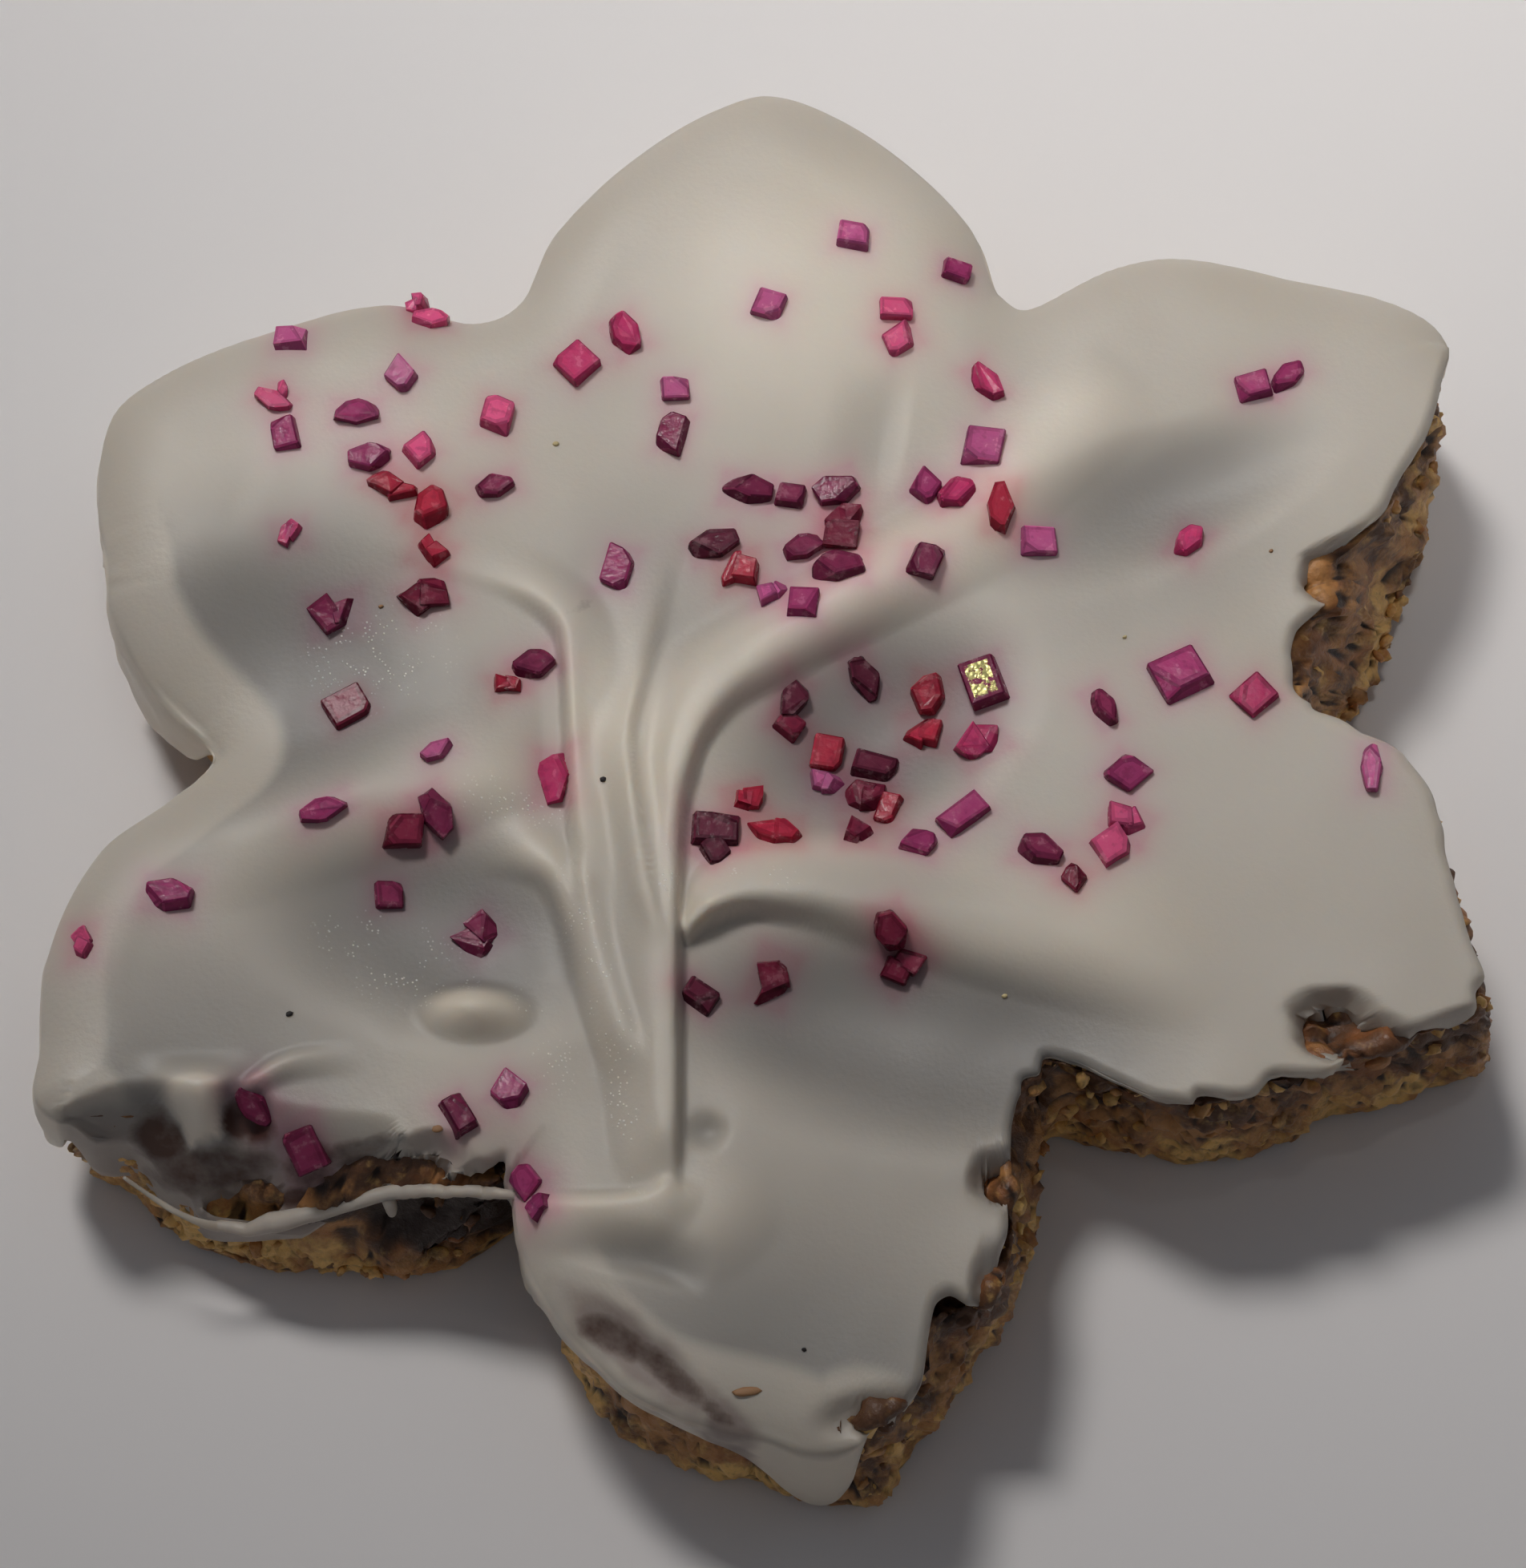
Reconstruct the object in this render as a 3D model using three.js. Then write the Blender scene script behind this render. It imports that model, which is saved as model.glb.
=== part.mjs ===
// A dog cookie: a six-lobed star of coarse baked crumb with a thick coat of yogurt icing.
// The icing was laid on in one twist, which left a trunk of folds that branches over the top.
// Millimetres, +Z up. The origin is the middle of the flat baked base.
import * as THREE from 'three';
import { ImprovedNoise } from 'three/addons/math/ImprovedNoise.js';
import { mergeGeometries, mergeVertices } from 'three/addons/utils/BufferGeometryUtils.js';

// ---- driving sizes ----
const BISCUIT_TOP = 6.2; // height of the baked crumb
const ICING_LEVEL = 7.9; // height of the icing between its folds
const GAP = 0.3; // clearance between the icing and the crumb
const UNDERSIDE = BISCUIT_TOP + GAP; // height of the icing's flat underside
const LIP = 0.15; // least height of the icing's inner wall
const RIM_WIDTH = 2.4; // how far in from its edge the icing starts to roll over
const RIM_DROP = 1.1; // how far the icing has come down where its edge turns vertical
const THINNEST_ICING = 0.5; // icing left in a pit
const THINNEST_EDGE = 0.35; // icing left at a bare edge
const EDGE_BULGE = 0.12; // how far the hanging icing swells between its rim and its hem
const NO_HEM = 0.55; // reach past the crumb at which the icing starts to hang over its side
const FULL_HEM = 0.9; // reach at which it hangs down to its hem
const CRUMB_COLUMNS = 120; // steps round the crumb
const TOP_RINGS = 31; // rings of the icing's top
const RIM_RINGS = 4; // the outermost of them, which roll over the edge
const SIDES = 6; // sides of each ring, which has as many more steps than the one inside it
const FOLD_STEPS = 40; // straight steps along a fold's path
const CRUMB_GRAIN = 1.6; // size of the lumps on the crumb's side
const CRUMB_ROUGH = 0.28; // how far the lumps stand out
const HEM_WAVE = 0.35; // unevenness of the icing's lower hem
const HEM_PITCH = 9; // degrees between its waves
const SEAM = 1e-4; // points nearer than this are one point
const ICING_COLOUR = 0xe6dfd2;
const CRUMB_COLOUR = 0x80593a;

// Rings of the crumb's side: height, and how far each stands in from its fullest reach.
const CRUMB_SIDE = [[0, 0.7], [0.7, 0.2], [2.2, 0], [3.8, 0], [5.3, 0.1], [BISCUIT_TOP, 0.5]];

// The edge of the star. Each knot is the direction in degrees from +X, the outermost radius,
// the icing's reach past the crumb's side (negative where the icing stops short and leaves
// the crumb bare), and the height of the icing's hem.
const EDGE = [
  [1.7, 20.1, -0.6, 5.5], [5, 18.4, -0.6, 5.5], [9.5, 19.9, -2.5, 6], [13, 21.0, -3.5, 6],
  [19, 22.6, -3.2, 6], [24.5, 24.6, -1.9, 6], [31, 26.6, -0.3, 5.5], [34.6, 27.0, 0.9, 3],
  [38.5, 26.3, 1.1, 2], [45, 24.3, 1.1, 2], [53.3, 22.4, 1.1, 2], [57, 20.9, 1.1, 2],
  [62, 18.2, 1.1, 2.4], [66, 18.4, 1.1, 3], [70.5, 20.1, 1.0, 3.6], [78.4, 21.9, 1.1, 2],
  [87.3, 23.8, 1.1, 2], [92, 24.1, 1.1, 2], [103, 22.2, 1.1, 2], [112, 20.3, 1.1, 2],
  [118, 18.5, 1.1, 2], [124, 18.7, 1.1, 2], [129, 20.9, 1.1, 2], [138, 22.8, 1.1, 2],
  [147, 24.8, 1.1, 2], [152, 25.4, 1.1, 2.2], [160, 24.1, 1.0, 3.2], [166, 23.0, 1.1, 2.2],
  [172, 21.4, 1.1, 2], [180, 18.9, 1.0, 3.2], [185, 20.1, 1.1, 2.4], [189.5, 22.5, 1.1, 2],
  [197, 24.8, 1.1, 2], [203, 25.9, 1.1, 2.6], [207.5, 26.9, 0.2, 5], [212, 25.2, -1.6, 6],
  [217, 24.1, -2.6, 6], [227, 21.5, -2.7, 6], [234, 19.6, -2.4, 6], [239.5, 17.3, 0.2, 4.5],
  [244, 18.9, 1.0, 2.8], [249, 20.4, 0.9, 3.2], [257.7, 21.6, 0.9, 3.4], [267, 22.5, 0.9, 3.4],
  [273, 23.5, 0.6, 4.5], [276.5, 23.8, -0.3, 5.5], [280, 23.1, -1.0, 6], [284, 22.2, -2.0, 6],
  [288.7, 20.8, -1.2, 6], [293.4, 19.6, -1.1, 6], [297.3, 18.3, -2.5, 6], [300.7, 17.2, -2.2, 6],
  [303.6, 16.0, -1.6, 6], [308.5, 15.1, -0.8, 6], [312.8, 16.6, -0.4, 6], [318, 18.7, -0.3, 6],
  [324, 20.3, -0.4, 6], [329, 21.5, -0.4, 6], [333.8, 22.9, -0.3, 6], [337, 24.4, -0.3, 6],
  [339.5, 25.2, -0.4, 6], [342.5, 24.4, -0.4, 5.8], [349.4, 22.9, -0.5, 5.5],
  [355, 21.8, -0.3, 5],
];

// The folds of the icing. A fold follows its path with a height (a furrow's is negative) and
// spreads by its own width to the left and to the right of the way the path runs. It rises
// over its first share of the path and fades over its last one.
const FOLDS = [
  { // trunk and main branch, which fall steeply on their right
    height: 1.2, left: 3.4, right: 0.9, rise: 0.03, fade: 0.3,
    path: [[-3, -14.9], [-3.05, -10.7], [-3.1, -4.6], [-2.9, -2.3], [-1.45, 1.7], [1, 3.7],
      [4.75, 6.25], [8.5, 9.45], [12, 13]],
  },
  { // middle furrow of the trunk
    height: -0.6, left: 1, right: 1.1, rise: 0.25, fade: 0.25,
    path: [[-3.9, -8.5], [-4.9, -3], [-4.3, 3.1], [-3.7, 8.6], [-3.2, 12]],
  },
  { // short furrow beside the branch
    height: -0.3, left: 0.9, right: 0.8, rise: 0.3, fade: 0.3,
    path: [[-4.05, -2.6], [-3.3, 1.1], [-2.2, 3.2], [-0.2, 4.8]],
  },
  { // thin ridge on the trunk's left, which turns off over the upper left lobe
    height: 0.6, left: 1, right: 1.2, rise: 0.2, fade: 0.5,
    path: [[-5.2, -8], [-6.4, -3.6], [-6.8, 2.5], [-8, 4.8], [-10.5, 6.2], [-16.5, 8.6]],
  },
  { // left edge of the trunk above the left hollow
    height: 0.6, left: 1.1, right: 2.4, rise: 0.2, fade: 0.3,
    path: [[-5, -12.5], [-6.2, -8], [-7.4, -4.3], [-9.3, -1.6]],
  },
  { // ridge of the left lobe
    height: 0.9, left: 1.2, right: 3.4, rise: 0.35, fade: 0.25,
    path: [[-7.5, -1.2], [-10, -1.3], [-14.8, -3.1], [-19.5, -4.5]],
  },
  { // lip of the right lobe
    height: 0.9, left: 3.4, right: 1.1, rise: 0.25, fade: 0.5,
    path: [[-2.6, -6], [-1, -5.3], [2.3, -5.8], [7.2, -6.6], [16.5, -7.7]],
  },
  { // second ridge of the upper right lobe
    height: 0.45, left: 0.9, right: 1.8, rise: 0.3, fade: 0.4,
    path: [[6.1, 7], [9, 8.8], [13, 10.8]],
  },
  { // soft crease of the top lobe
    height: -0.3, left: 1.2, right: 0.6, rise: 0.4, fade: 0.4,
    path: [[2.9, 8.6], [3.4, 11], [3.8, 13.4]],
  },
  { // foot of the trunk, bent to the left
    height: 0.5, left: 1, right: 1.2, rise: 0.3, fade: 0.3,
    path: [[-8.4, -16], [-5.4, -16.1], [-3.6, -15.5], [-3, -14.3]],
  },
  { // second ridge below the foot
    height: 0.4, left: 1, right: 1.2, rise: 0.35, fade: 0.35,
    path: [[-7.4, -16.9], [-4.6, -17.5], [-2.3, -16.9], [-1.6, -14.8]],
  },
  { // thin curl on the lower left lobe
    height: 0.4, left: 1, right: 0.9, rise: 0.3, fade: 0.3,
    path: [[-17.4, -12.8], [-15.9, -11.4], [-12.8, -10.9]],
  },
];

// Round swells and hollows: centre, half length along and across, turn in degrees, height.
const SWELLS = [
  { at: [-9.8, -9.5], half: [2, 1.1], turn: -3, height: 0.75 }, // drop left by the spoon
  { at: [-11, -6.5], half: [6.5, 4], turn: -15, height: -0.7 }, // hollow of the left lobe
  { at: [5.5, -10.5], half: [8.5, 4], turn: -6, height: -0.8 }, // hollow of the lower right
  { at: [4, 1.4], half: [5.5, 3.8], turn: 35, height: -0.5 }, // hollow behind the branch
  { at: [13, 8.4], half: [5.5, 1.7], turn: 22, height: -0.5 }, // valley of the upper right
  { at: [1, 16], half: [6, 6], turn: 0, height: 0.4 }, // full top lobe
  { at: [-3.1, -21.6], half: [3, 0.9], turn: -38, height: -0.8 }, // thin pit at the bottom
  { at: [-14.4, -15.2], half: [5.2, 1.4], turn: 3, height: -1.5 }, // torn pit, lower left
  { at: [18, -9.9], half: [2, 1], turn: -25, height: -1.5 }, // hole in the right lobe
];

// ---- small maths ----
const { smoothstep, degToRad, clamp } = THREE.MathUtils;
const noise = new ImprovedNoise();

// One smooth value (column 1, 2 or 3 of EDGE) at a direction, through the knots all round.
function edgeValue(column, degrees) {
  const count = EDGE.length;
  const turn = (value) => ((value % 360) + 360) % 360;
  const knot = (index) => EDGE[(index + count) % count];
  let at = EDGE.findIndex((entry) => entry[0] > turn(degrees)) - 1;
  if (at < 0) at = count - 1;
  const slopeAt = (index) => {
    const span = turn(knot(index + 1)[0] - knot(index - 1)[0]);
    return (knot(index + 1)[column] - knot(index - 1)[column]) / span;
  };
  const span = turn(knot(at + 1)[0] - knot(at)[0]);
  const u = turn(degrees - knot(at)[0]) / span;
  const [from, to] = [knot(at)[column], knot(at + 1)[column]];
  const [leave, arrive] = [slopeAt(at) * span, slopeAt(at + 1) * span];
  const bend = 2 * (from - to) + leave + arrive;
  return from + u * (leave + u * (3 * (to - from) - 2 * leave - arrive + u * bend));
}

// Reach of the crumb's side and of the icing's edge in one direction.
function edgeAt(degrees) {
  const outer = edgeValue(1, degrees);
  const reach = edgeValue(2, degrees);
  return {
    crumb: outer - Math.max(reach, 0),
    icing: outer + Math.min(reach, 0),
    hangs: smoothstep(reach, NO_HEM, FULL_HEM),
    hem: edgeValue(3, degrees),
  };
}

// ---- the icing's relief ----
// A fold's height over a point, from the nearest place on its path.
function foldHeight(fold, x, y) {
  let best = { distance: Infinity };
  for (let i = 0; i < FOLD_STEPS; i += 1) {
    const [a, b] = [fold.points[i], fold.points[i + 1]];
    const [alongX, alongY] = [b.x - a.x, b.y - a.y];
    const length2 = alongX * alongX + alongY * alongY;
    const u = clamp(((x - a.x) * alongX + (y - a.y) * alongY) / length2, 0, 1);
    const distance = Math.hypot(x - a.x - u * alongX, y - a.y - u * alongY);
    if (distance < best.distance) {
      const onLeft = alongX * (y - a.y) - alongY * (x - a.x) > 0;
      best = { distance, onLeft, share: (i + u) / FOLD_STEPS };
    }
  }
  const spread = best.distance / (best.onLeft ? fold.left : fold.right);
  const risen = smoothstep(best.share, 0, fold.rise);
  const faded = smoothstep(best.share, 1 - fold.fade, 1);
  return spread >= 1 ? 0 : fold.height * risen * (1 - faded) * (1 - spread * spread) ** 2;
}

function swellHeight(swell, x, y) {
  const turn = degToRad(swell.turn);
  const [dx, dy] = [x - swell.at[0], y - swell.at[1]];
  const along = (dx * Math.cos(turn) + dy * Math.sin(turn)) / swell.half[0];
  const across = (dy * Math.cos(turn) - dx * Math.sin(turn)) / swell.half[1];
  const spread2 = along * along + across * across;
  return spread2 >= 1 ? 0 : swell.height * (1 - spread2) ** 2;
}

for (const fold of FOLDS) {
  const path = new THREE.SplineCurve(fold.path.map(([x, y]) => new THREE.Vector2(x, y)));
  fold.points = path.getPoints(FOLD_STEPS);
}

function icingTop(x, y) {
  let height = ICING_LEVEL;
  for (const fold of FOLDS) height += foldHeight(fold, x, y);
  for (const swell of SWELLS) height += swellHeight(swell, x, y);
  return Math.max(height, UNDERSIDE + THINNEST_ICING);
}

// ---- solids ----
const around = (degrees, radius, height) => {
  const angle = degToRad(degrees);
  return new THREE.Vector3(radius * Math.cos(angle), radius * Math.sin(angle), height);
};

// A lathe blank whose rows are pulled out to the star. Each row gives the point of one ring
// in every direction.
function starSkin(rows, columns) {
  const profile = rows.map((row, index) => new THREE.Vector2(1, index));
  const geometry = new THREE.LatheGeometry(profile, columns);
  const position = geometry.getAttribute('position');
  for (let i = 0; i < position.count; i += 1) {
    const column = Math.floor(i / rows.length) % columns;
    const point = rows[i % rows.length]((360 * column) / columns);
    position.setXYZ(i, point.x, point.y, point.z);
  }
  return geometry;
}

function closedBody(...skins) {
  for (const skin of skins) {
    skin.deleteAttribute('normal');
    skin.deleteAttribute('uv');
  }
  const geometry = mergeVertices(mergeGeometries(skins), SEAM);
  geometry.computeVertexNormals();
  return geometry;
}

// Crumb: a flat baked base, a rough upright side and a flat top under the icing.
function biscuit() {
  const sideRow = (height, inset) => (degrees) => {
    const reach = edgeAt(degrees).crumb;
    const at = around(degrees, reach, height).divideScalar(CRUMB_GRAIN);
    const lump = CRUMB_ROUGH * (0.5 + noise.noise(at.x, at.y, at.z));
    return around(degrees, reach - inset - lump, height);
  };
  return closedBody(starSkin([
    () => around(0, 0, 0),
    ...CRUMB_SIDE.map(([height, inset]) => sideRow(height, inset)),
    () => around(0, 0, BISCUIT_TOP),
  ], CRUMB_COLUMNS));
}

// A point of the icing's folded top, from the middle (share 0) to its rolled edge (share 1).
function topPoint(degrees, share) {
  const reach = edgeAt(degrees).icing - EDGE_BULGE;
  const innerShare = 1 - RIM_RINGS / TOP_RINGS;
  const roll = (Math.PI / 2) * Math.max((share - innerShare) / (1 - innerShare), 0);
  const inner = (reach - RIM_WIDTH) * Math.min(share / innerShare, 1);
  const point = around(degrees, inner + RIM_WIDTH * Math.sin(roll), 0);
  const height = icingTop(point.x, point.y) - RIM_DROP * (1 - Math.cos(roll));
  return point.setZ(Math.max(height, UNDERSIDE + THINNEST_EDGE));
}

// The folded top: rings of six sides, each side with one more step than in the ring before.
function icingSkin() {
  const firstOf = (ring) => (ring === 0 ? 0 : 1 + SIDES * (ring * (ring - 1)) / 2);
  const points = [topPoint(0, 0)];
  const index = [];
  for (let ring = 1; ring <= TOP_RINGS; ring += 1) {
    const steps = SIDES * ring;
    for (let step = 0; step < steps; step += 1) {
      points.push(topPoint((360 * step) / steps, ring / TOP_RINGS));
    }
    const outer = (step) => firstOf(ring) + (step % steps);
    const inner = (step) => firstOf(ring - 1) + (ring > 1 ? step % (steps - SIDES) : 0);
    for (let side = 0; side < SIDES; side += 1) {
      for (let step = 0; step < ring; step += 1) {
        const [out, into] = [side * ring + step, side * (ring - 1) + step];
        index.push(outer(out), outer(out + 1), inner(into));
        if (step < ring - 1) index.push(inner(into), outer(out + 1), inner(into + 1));
      }
    }
  }
  const geometry = new THREE.BufferGeometry().setFromPoints(points);
  return geometry.setIndex(index);
}

// Icing: flat underneath, hanging over the crumb's side where it reaches past it, and folded
// on top, with its edge rolled over.
function icing() {
  const innerReach = (edge) => Math.min(edge.crumb + GAP, edge.icing - THINNEST_EDGE);
  const hem = (degrees, edge) => {
    const wave = HEM_WAVE * noise.noise(degrees / HEM_PITCH, 0.5, 0.5);
    return THREE.MathUtils.lerp(UNDERSIDE, edge.hem + wave, edge.hangs);
  };
  const innerRow = (isHem) => (degrees) => {
    const edge = edgeAt(degrees);
    return around(degrees, innerReach(edge), isHem ? hem(degrees, edge) : UNDERSIDE + LIP);
  };
  const outerRow = (share) => (degrees) => {
    const edge = edgeAt(degrees);
    const bulge = EDGE_BULGE * (Math.sin(Math.PI * share) - 1);
    const height = THREE.MathUtils.lerp(hem(degrees, edge), topPoint(degrees, 1).z, share);
    return around(degrees, edge.icing + bulge, height);
  };
  const underside = starSkin([
    () => around(0, 0, UNDERSIDE + LIP),
    innerRow(false), innerRow(true), outerRow(0), outerRow(0.5),
    (degrees) => topPoint(degrees, 1),
  ], SIDES * TOP_RINGS);
  return closedBody(underside, icingSkin());
}

// ---- the cookie ----
function part(name, geometry, color, roughness) {
  const material = new THREE.MeshStandardMaterial({ color, roughness, metalness: 0 });
  const mesh = new THREE.Mesh(geometry, material);
  mesh.name = name;
  return mesh;
}

const cookie = new THREE.Group();
cookie.add(part('biscuit', biscuit(), CRUMB_COLOUR, 0.9));
cookie.add(part('icing', icing(), ICING_COLOUR, 0.45));

export default cookie;
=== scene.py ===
"""A dog cookie: a star of coarse baked crumb, a folded coat of yogurt icing and coarse sugar.

The file is laid out as an add-on and is run as a script. Sizes are in millimetres until a
piece is finished, and its mesh is then scaled to metres.
"""

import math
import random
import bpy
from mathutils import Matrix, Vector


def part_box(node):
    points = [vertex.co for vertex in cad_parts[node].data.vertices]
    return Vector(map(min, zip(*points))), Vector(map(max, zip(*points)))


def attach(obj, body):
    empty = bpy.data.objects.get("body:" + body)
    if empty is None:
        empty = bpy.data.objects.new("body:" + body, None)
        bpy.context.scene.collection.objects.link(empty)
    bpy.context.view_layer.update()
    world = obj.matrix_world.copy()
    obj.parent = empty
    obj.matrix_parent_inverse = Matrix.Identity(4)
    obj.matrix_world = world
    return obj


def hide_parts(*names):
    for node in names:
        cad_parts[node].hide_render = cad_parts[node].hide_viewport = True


bl_info = {
    "name": "Iced Dog Cookie",
    "version": (1, 0, 0),
    "blender": (4, 5, 0),
    "location": "3D View > Sidebar > Cookie",
    "description": "Makes an iced, sugared dog cookie piece by piece",
    "category": "Add Mesh",
}

from collections import namedtuple

import bmesh
import bpy
import numpy as np
from mathutils import Matrix, Vector, noise
from mathutils.kdtree import KDTree

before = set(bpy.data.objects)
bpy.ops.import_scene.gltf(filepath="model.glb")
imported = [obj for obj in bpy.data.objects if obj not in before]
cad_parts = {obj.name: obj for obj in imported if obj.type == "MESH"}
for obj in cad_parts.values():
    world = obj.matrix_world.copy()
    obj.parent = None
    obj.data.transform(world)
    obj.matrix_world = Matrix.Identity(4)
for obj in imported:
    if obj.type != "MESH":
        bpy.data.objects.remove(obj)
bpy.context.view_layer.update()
MM = 0.001
CRUMB_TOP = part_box("biscuit")[1].z / MM

# ---------------------------------------------------------------- the star's edge
# Each knot is the direction in degrees from +X, the outermost radius, the icing's reach past
# the crumb's side (negative where the icing stops short and leaves the crumb bare), and the
# height of the icing's hem.
EDGE = np.array([
    (1.7, 20.1, -0.6, 5.5), (5, 18.4, -1.0, 5.5), (9.5, 19.9, -2.7, 6), (13, 21.0, -3.4, 6),
    (15.6, 21.8, -2.9, 6), (18.6, 22.5, -3.6, 6), (20.3, 23.1, -3.6, 6), (21.8, 23.6, -2.1, 6),
    (24.5, 24.6, -1.8, 6), (27.5, 25.6, -1.0, 6), (31, 26.6, -0.5, 5.5), (34.6, 27.0, 0.9, 3),
    (38.5, 26.3, 1.1, 2), (45, 24.3, 1.1, 2), (53.3, 22.4, 1.1, 2), (57, 20.9, 1.1, 2),
    (62, 18.2, 1.1, 2.4), (66, 18.4, 1.1, 3), (70.5, 20.1, 1.0, 3.6), (78.4, 21.9, 1.1, 2),
    (87.3, 23.8, 1.1, 2), (92, 24.1, 1.1, 2), (103, 22.2, 1.1, 2), (112, 20.3, 1.1, 2),
    (118, 18.5, 1.1, 2), (124, 18.7, 1.1, 2), (129, 20.9, 1.1, 2), (138, 22.8, 1.1, 2),
    (147, 24.8, 1.1, 2), (152, 25.4, 1.1, 2.2), (160, 24.1, 1.0, 3.2), (166, 23.0, 1.1, 2.2),
    (172, 21.4, 1.1, 2), (180, 18.9, 1.0, 3.2), (185, 20.1, 1.1, 2.4), (189.5, 22.5, 1.1, 2),
    (197, 24.8, 1.1, 2), (203, 25.9, 1.1, 2.6), (207.5, 26.9, 0.8, 2.8), (212, 25.3, -1.6, 6),
    (217, 24.4, -2.8, 6), (227, 22.3, -3.4, 6), (234, 20.5, -3.2, 6), (237.3, 19.0, -1.8, 6),
    (239.8, 17.3, 0.3, 4.5), (244, 18.9, 1.0, 2.8), (249, 20.5, 0.7, 4.4), (253.5, 21.6, 0.5, 5.4),
    (257.7, 22.5, 0.45, 5.6), (262.5, 23.0, 0.45, 5.2), (266.5, 23.3, 0.5, 4.2),
    (269.5, 23.6, 0.6, 2.6), (272, 24.0, 0.7, 1.0), (273.8, 24.1, 0.6, 0.9),
    (275.2, 24.0, 0.3, 2.6), (276.6, 23.8, 0.0, 4.6), (278.5, 23.5, -0.3, 5.5),
    (281.4, 22.8, -0.3, 6), (283.3, 22.4, -1.5, 6), (286.7, 21.4, -1.1, 6), (289.5, 20.6, -0.4, 6),
    (292.9, 19.7, -0.4, 6), (295.2, 19.0, -1.2, 6), (297.3, 18.3, -2.1, 6), (300.7, 17.2, -2.3, 6),
    (303.8, 15.9, -1.6, 6), (306.4, 15.3, -0.9, 6), (308.5, 15.1, -1.0, 6), (310.5, 15.8, -0.9, 6),
    (312.8, 16.7, -0.5, 6), (315.2, 17.8, 0.3, 6.1), (317.6, 18.8, -0.2, 6.1),
    (320.8, 19.7, -0.1, 6.1), (324, 20.6, -0.7, 6.1), (326.5, 21.2, 0, 6.1), (329, 21.8, 0.2, 6.1),
    (333.8, 23.4, -0.4, 6), (337, 24.8, -0.5, 6), (339.5, 25.4, -0.9, 6), (342.5, 24.4, -0.8, 5.8),
    (349.4, 22.9, -0.7, 5.5), (355, 21.8, -0.3, 5),
])
# Where a thin film sags over the broken slope: the direction, and how far inside the
# outermost edge the film ends.
APRON = np.array([(208, -0.2), (212, -0.15), (216, -0.1), (220, 0.05), (223.5, 0.35),
                  (225.6, 0.5), (227.2, 1.5), (229, 2.2), (233, 2.4), (236.5, 1.8),
                  (239.5, 0.1)])
# How far the film hangs down over the side, by direction.
FILM_HANG = np.array([(208, 2.6), (212, 2.5), (216, 2.0), (220, 1.2), (223.5, 0.4), (226, 0)])
OUTER, REACH, HEM = 1, 2, 3  # EDGE's columns
# Small nicks in the hanging hem: the direction, half the width in degrees, how far in the
# edge steps, and how much the hem rises there.
NICKS = [
    (67.8, 3.6, 0.2, 2.6), (163.7, 3.6, 0.3, 2.8), (180.8, 4.5, 0.3, 2.8), (248, 3.2, 0, 0.7),
]
NO_HEM, FULL_HEM = -0.15, 0.3  # reaches between which the icing starts to hang over the side
SHORT_HEM = (4, 5.2)  # hem heights between which the hanging icing counts as short
BARE_HEM = (5.7, 5.95)  # and between which there is no hem left
MEAN_RADIUS = 20  # of the ring on which the edge's unevenness is read
BITE = 0.65  # depth of the bites in the icing's edge on bare crumb
RAGGED_INSET, SOFT_INSET = 0.1, 0.08  # how far inside EDGE the bare and the hanging edge lie

# ---------------------------------------------------------------- the icing's relief
ICING_LEVEL = 7.9
THINNEST = 0.3  # the least thickness of the icing, away from its edges
RIM_WIDTH, RIM_DROP = 2.7, 1.5  # the rolled rim where the icing hangs over
SHORT_DROP = 1.3  # the rim's drop where the icing hangs only a little way down
ROUNDEST = 0.94  # the share of its quarter turn that the rim's roll makes before the wall
BARE_WIDTH, THIN_SHARE = 0.35, 0.72  # the margin that thins towards bare crumb, and to what
SPOT_WIDTH, SPOT_SHARE = 0.6, 0.45  # the same round a bare spot
SUNK = 1.1  # how far below bare crumb the hidden part of the icing's sheet lies
FILM = 0.52  # thickness of the film that sags over the broken slope
FOLD_STEPS = 48
CEILING, ABOVE_CEILING = 9.0, 0.3  # where folds cross, the share left of what is above it

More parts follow.
